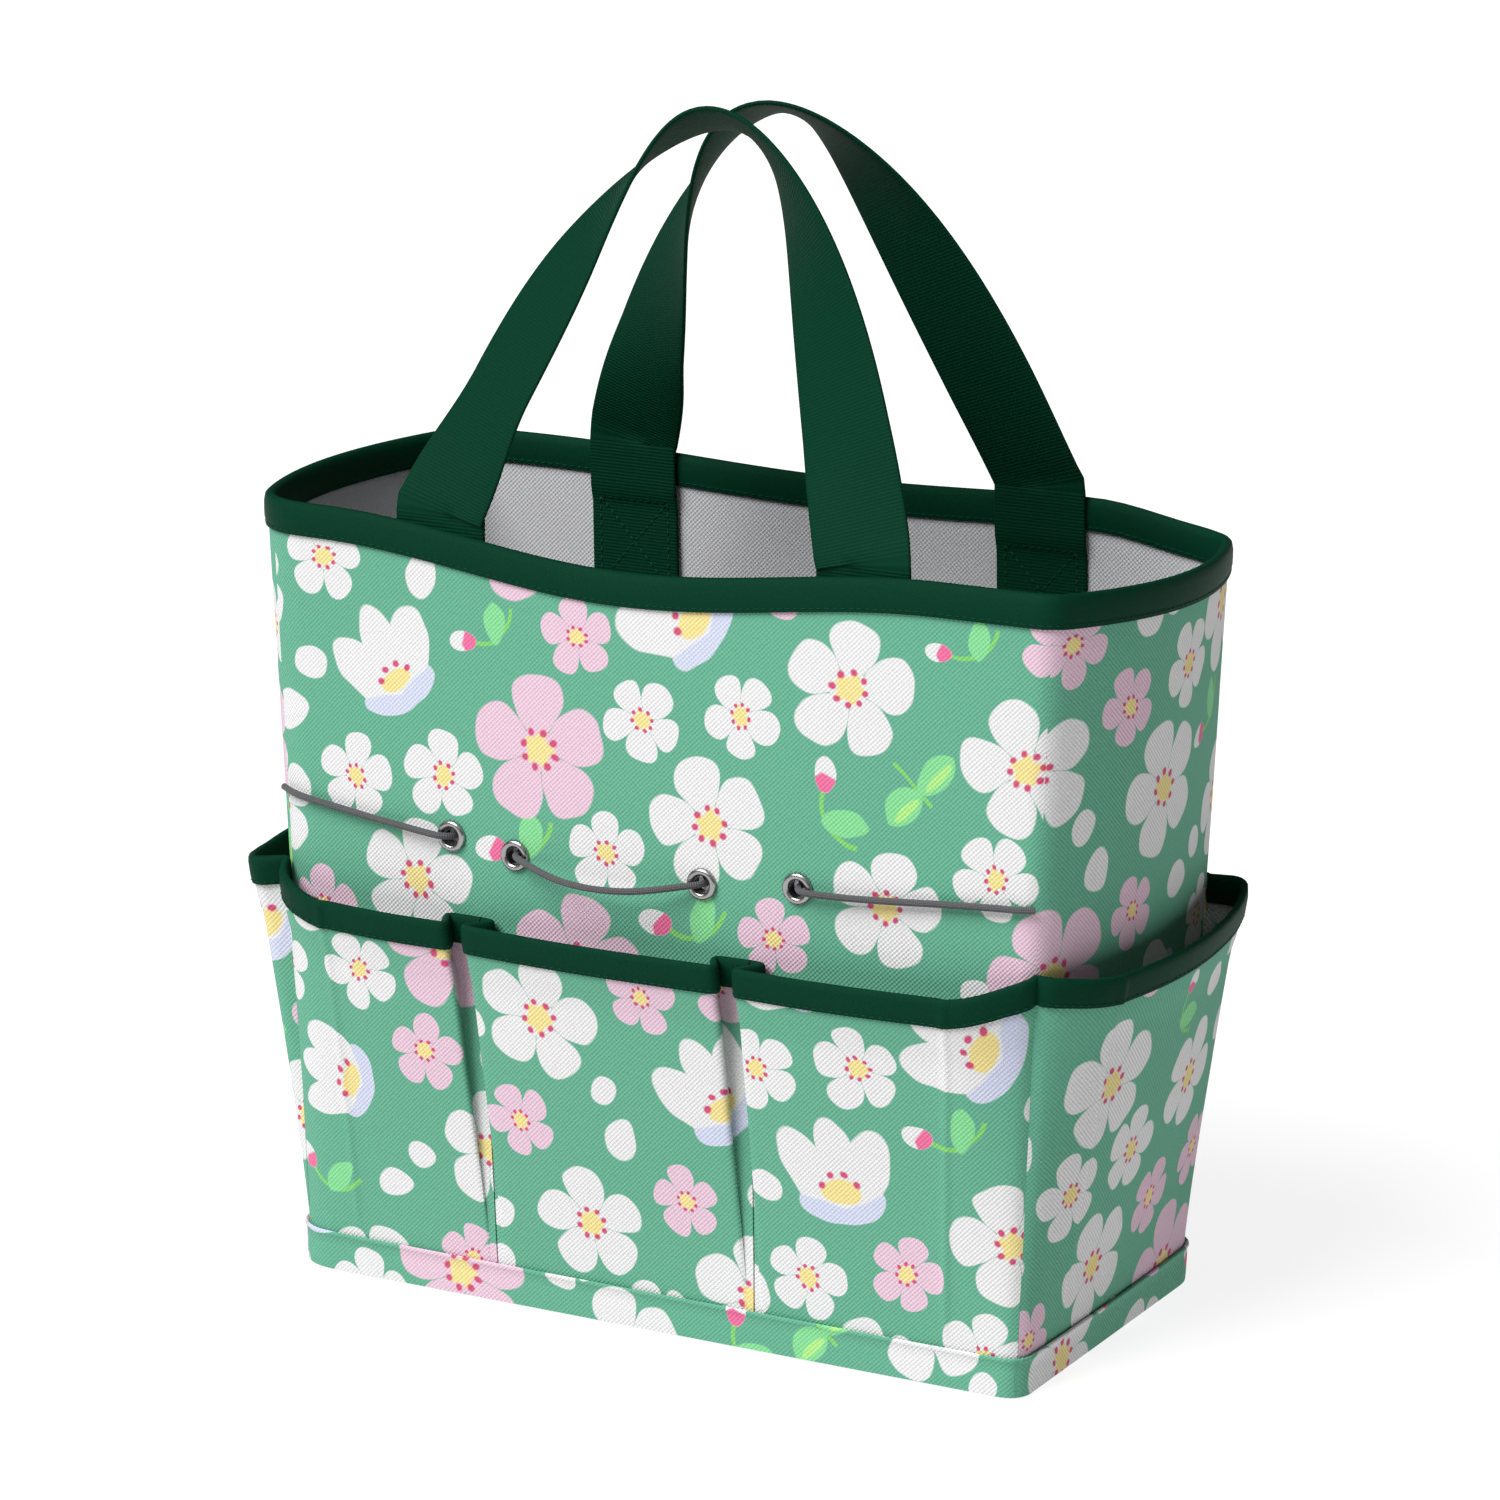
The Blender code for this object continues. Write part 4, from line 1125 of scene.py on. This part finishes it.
# Cord routes on the front wall as (along, height, outward), in metres.
CORD_ROUTES = {
    "elastic_cord_left": (
        (-0.0794, 0.1820, -0.0043), (-0.0794, 0.1820, -0.0025), (-0.0800, 0.1820, 0.0000),
        (-0.0812, 0.1821, 0.0017), (-0.0829, 0.1823, 0.0029), (-0.0854, 0.1825, 0.0035),
        (-0.0910, 0.1829, 0.0034), (-0.0990, 0.1836, 0.0032), (-0.1080, 0.1844, 0.0030),
        (-0.1170, 0.1852, 0.0028), (-0.1260, 0.1861, 0.0026), (-0.1350, 0.1870, 0.0025),
        (-0.1440, 0.1879, 0.0024), (-0.1520, 0.1888, 0.0023), (-0.1590, 0.1895, 0.0023),
    ),
    "elastic_cord_middle": (
        (-0.0526, 0.1785, -0.0043), (-0.0526, 0.1785, -0.0025), (-0.0520, 0.1785, 0.0000),
        (-0.0508, 0.1784, 0.0017), (-0.0490, 0.1782, 0.0030), (-0.0460, 0.1778, 0.0044),
        (-0.0410, 0.1769, 0.0062), (-0.0340, 0.1757, 0.0084), (-0.0270, 0.1748, 0.0100),
        (-0.0200, 0.1743, 0.0109), (-0.0125, 0.1741, 0.0112), (-0.0050, 0.1743, 0.0109),
        (0.0020, 0.1748, 0.0100), (0.0090, 0.1757, 0.0084), (0.0160, 0.1769, 0.0062),
        (0.0210, 0.1778, 0.0044), (0.0240, 0.1782, 0.0030), (0.0258, 0.1784, 0.0017),
        (0.0270, 0.1785, 0.0000), (0.0276, 0.1785, -0.0025), (0.0276, 0.1785, -0.0043),
    ),
    "elastic_cord_right": (
        (0.0654, 0.1820, -0.0043), (0.0654, 0.1820, -0.0025), (0.0660, 0.1820, 0.0000),
        (0.0672, 0.1819, 0.0017), (0.0689, 0.1818, 0.0029), (0.0714, 0.1817, 0.0035),
        (0.0780, 0.1817, 0.0034), (0.0870, 0.1819, 0.0032), (0.0960, 0.1823, 0.0030),
        (0.1060, 0.1829, 0.0028), (0.1160, 0.1836, 0.0026), (0.1260, 0.1843, 0.0025),
        (0.1360, 0.1849, 0.0024), (0.1450, 0.1854, 0.0023), (0.1530, 0.1857, 0.0023),
        (0.1590, 0.1860, 0.0023),
    ),
}


def build_cords():
    for name, route in CORD_ROUTES.items():
        points = smooth_curve([skin("front", s, z, out) for s, z, out in route], 5)
        thing = finished(tube(name + "_braid", points, CORD_DIAMETER / 2, ELASTIC), 60)
        on_bag(thing, "elastic_cord", name)
    cord_end = max(-out for route in CORD_ROUTES.values() for _, _, out in route)
    for number, (along, height) in EYELETS.items():
        place = wall_frame("front", along, height, -cord_end - KNOT_SETBACK)
        points = []
        for k in range(RING_STEPS + 1):
            t = 2 * math.pi * k / RING_STEPS
            x = math.sin(t) + 2 * math.sin(2 * t)
            y = math.cos(t) - 2 * math.cos(2 * t)
            points.append(place @ (Vector((x, y, -1.6 * math.sin(3 * t))) * KNOT_SCALE))
        knot = tube(f"elastic_knot_{number}", points, KNOT_STRAND, ELASTIC, sides=8)
        on_bag(finished(knot, 60), "elastic_cord", f"cord_knot_{number}")


# Handles


def handle_line(rise, lean, twist_at_start, twist_at_top):
    """Webbing loop as (centre, across) pairs, from the left end over the top to the right end."""
    spread = (HANDLE_HALF_SPAN**2 - HANDLE_NOSE * rise) / rise**2
    centres = []
    for share in shares(HANDLE_STATIONS, -1.0, 1.0):
        below = rise * abs(share) ** 1.6
        x = math.copysign(math.sqrt(HANDLE_NOSE * below + spread * below**2), share)
        centres.append(Vector((x, 0.0, rise - below)))
    lengths = running_lengths(centres)
    tilt = Matrix.Rotation(-lean, 3, "X")
    pairs = []
    for i, centre in enumerate(centres):
        before, after = centres[max(i - 1, 0)], centres[min(i + 1, HANDLE_STATIONS)]
        tangent = (after - before).normalized()
        in_plane = Vector((tangent.z, 0.0, -tangent.x))
        run = lengths[i] / lengths[-1]
        twist = math.pi * (run - 0.1 * math.sin(2 * math.pi * run))
        twist += twist_at_start * (1 - smooth_step(run / 0.3))
        twist += twist_at_top * math.sin(math.pi * run)
        across = in_plane * math.cos(twist) + Vector((0, -1, 0)) * math.sin(twist)
        free = smooth_step(min(run, 1 - run) / FLAT_END_SHARE)
        across = (Vector((1, 0, 0)) * (1 - free) + across * free).normalized()
        pairs.append((tilt @ centre, tilt @ across))
    return pairs


def tab_line(wall, side):
    """The sewn end inside the wall, from its lower end up to the hinge, in the handle's own frame."""
    on_lining = LINING_INNER + GAP + WEBBING_THICKNESS / 2
    on_binding = on_lining + TAPE + GAP + 0.0004
    along = side * HANDLE_HALF_SPAN
    edges = (along - WEBBING_WIDTH / 2, along, along + WEBBING_WIDTH / 2)
    lowest = min(rim_height(wall, place) for place in edges)
    step_top = lowest - RIM_BINDING_HEIGHT - TAB_STEP_GAP
    line = []
    for height in shares(22, HINGE_HEIGHT - TAB_LENGTH, HINGE_HEIGHT - 0.0016):
        inward = mix(on_lining, on_binding, smooth_step((height - step_top + 0.008) / 0.008))
        here = wall_point(wall, along, height, inward)
        place = Vector((along, HINGE_OUT - abs(here.y), height - HINGE_HEIGHT))
        line.append((place, Vector((1, 0, 0))))
    return line


def webbing_ring(centre, across, tangent):
    """Section of the webbing: flat, with rounded selvedges."""
    up = tangent.cross(across).normalized()
    half, thick = WEBBING_WIDTH / 2, WEBBING_THICKNESS / 2
    outline = [(s, 1.0) for s in shares(8, -0.94, 0.94)]
    outline += [(0.975, 0.82), (0.995, 0.40), (0.995, -0.40), (0.975, -0.82)]
    outline += [(s, -1.0) for s in reversed(shares(8, -0.94, 0.94))]
    outline += [(-0.975, -0.82), (-0.995, -0.40), (-0.995, 0.40), (-0.975, 0.82)]
    return [centre + across * (half * s) + up * (thick * t) for s, t in outline]


def build_handle(wall, rise, lean, twist, facing):
    left, right = tab_line(wall, -1), tab_line(wall, 1)
    loop = handle_line(rise, lean, *twist)
    line = left + loop + right[::-1]
    centres = [point for point, _ in line]
    rings = []
    for i, (point, across) in enumerate(line):
        tangent = (centres[min(i + 1, len(line) - 1)] - centres[max(i - 1, 0)]).normalized()
        across = (across - tangent * across.dot(tangent)).normalized()
        rings.append(webbing_ring(point, across, tangent))
    around = section_lengths([(p.x, p.y) for p in rings[0]])
    thing = loft(f"{wall}_webbing", rings, WEBBING, strip_uv(centres, around))
    place = Matrix.Rotation(facing, 4, "Z") @ Matrix.Translation((0.0, -HINGE_OUT, HINGE_HEIGHT))
    thing.data.transform(place)
    finished(thing, 60)
    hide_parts(f"{wall}_handle", f"{wall}_handle_tab_left", f"{wall}_handle_tab_right")
    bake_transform(thing)
    build_tab_stitching(wall, place)


def build_tab_stitching(wall, place):
    """A sewn box with a cross on each tab, on its inner face."""
    runs = []
    half = WEBBING_WIDTH / 2 - 0.004
    for side in (-1, 1):
        line = tab_line(wall, side)

        def at(share, sideways):
            index = min(int(share * (len(line) - 1)), len(line) - 2)
            t = share * (len(line) - 1) - index
            middle = line[index][0].lerp(line[index + 1][0], t)
            return place @ (middle + Vector((sideways, WEBBING_THICKNESS / 2, 0.0)))

        inner = place.to_3x3() @ Vector((0, 1, 0))
        low, high = 0.06, 0.62
        corners = [(low, -half), (high, -half), (high, half), (low, half), (low, -half)]
        corners += [(high, half), (high, -half), (low, half)]
        for (s1, w1), (s2, w2) in zip(corners, corners[1:]):
            runs.append([(at(mix(s1, s2, t), mix(w1, w2, t)), inner) for t in shares(10)])
    sewn = stitches(f"{wall}_tab_stitching", runs, THREAD, radius=0.00035)
    on_bag(sewn, "handle_webbing")


def build_handles():
    for wall, facing in (("front", 0.0), ("rear", math.pi)):
        twist = [math.radians(angle) for angle in HANDLE_TWISTS[wall]]
        build_handle(wall, HANDLE_RISES[wall], math.radians(HANDLE_LEANS[wall]), twist, facing)


# Studio, with angles in degrees. A sun is (azimuth, elevation, spread, power).
FLOOR_REACH = 14.0
WORLD_STRENGTH = 0.08
SUNS = {"key": (-28.0, 50.0, 40.0, 4.6), "fill": (30.0, 60.0, 80.0, 0.35)}
CAMERA_LENS = 145.08
CAMERA_SENSOR = 36.0
CAMERA_CLIP = (0.05, 60.0)
CAMERA_AZIMUTH = 28.56
CAMERA_ELEVATION = 15.01
CAMERA_DISTANCE = 2.274
CAMERA_TARGET = (0.003, 0.0, 0.207)


def direction(azimuth, elevation):
    """Unit vector from the bag, with azimuth 0 in front of it and growing to its right."""
    azimuth, elevation = math.radians(azimuth), math.radians(elevation)
    flat = math.cos(elevation)
    return Vector((math.sin(azimuth) * flat, -math.cos(azimuth) * flat, math.sin(elevation)))


def build_studio():
    bm = bmesh.new()
    bmesh.ops.create_grid(bm, x_segments=1, y_segments=1, size=FLOOR_REACH)
    floor = mesh_object("floor", bm, floor_material())
    world = bpy.data.worlds.new("studio")
    bpy.context.scene.world = world
    world.use_nodes = True
    background = world.node_tree.nodes["Background"]
    background.inputs[0].default_value = (1.0, 1.0, 1.0, 1.0)
    background.inputs[1].default_value = WORLD_STRENGTH
    for name, (azimuth, elevation, spread, power) in SUNS.items():
        light = bpy.data.lights.new(name, "SUN")
        light.angle = math.radians(spread)
        light.energy = power
        lamp = bpy.data.objects.new(name, light)
        lamp.rotation_mode = "QUATERNION"
        lamp.rotation_quaternion = (-direction(azimuth, elevation)).to_track_quat("-Z", "Y")
        bpy.context.scene.collection.objects.link(lamp)
    bpy.context.scene.view_settings.view_transform = "Standard"


def build_camera():
    camera = bpy.data.cameras.new("camera")
    camera.lens = CAMERA_LENS
    camera.sensor_width = CAMERA_SENSOR
    camera.clip_start, camera.clip_end = CAMERA_CLIP
    thing = bpy.data.objects.new("camera", camera)
    back = direction(CAMERA_AZIMUTH, CAMERA_ELEVATION)
    thing.location = Vector(CAMERA_TARGET) + back * CAMERA_DISTANCE
    thing.rotation_mode = "QUATERNION"
    thing.rotation_quaternion = (-back).to_track_quat("-Z", "Y")
    bpy.context.scene.collection.objects.link(thing)
    bpy.context.scene.camera = thing


def main():
    build_camera()
    build_cords()
    build_body()
    build_rim_binding()
    build_band()
    for wall in WALLS:
        for number in pocket_numbers(wall):
            build_pocket(wall, number)
            build_pocket_binding(wall, number)
    build_eyelets()
    build_handles()
    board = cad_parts["base_board"]
    board.data.materials.clear()
    board.data.materials.append(plain_weave("base_board", BOARD_GREY, BOARD_PITCH, 0.0001, 0.5))
    build_studio()


main()
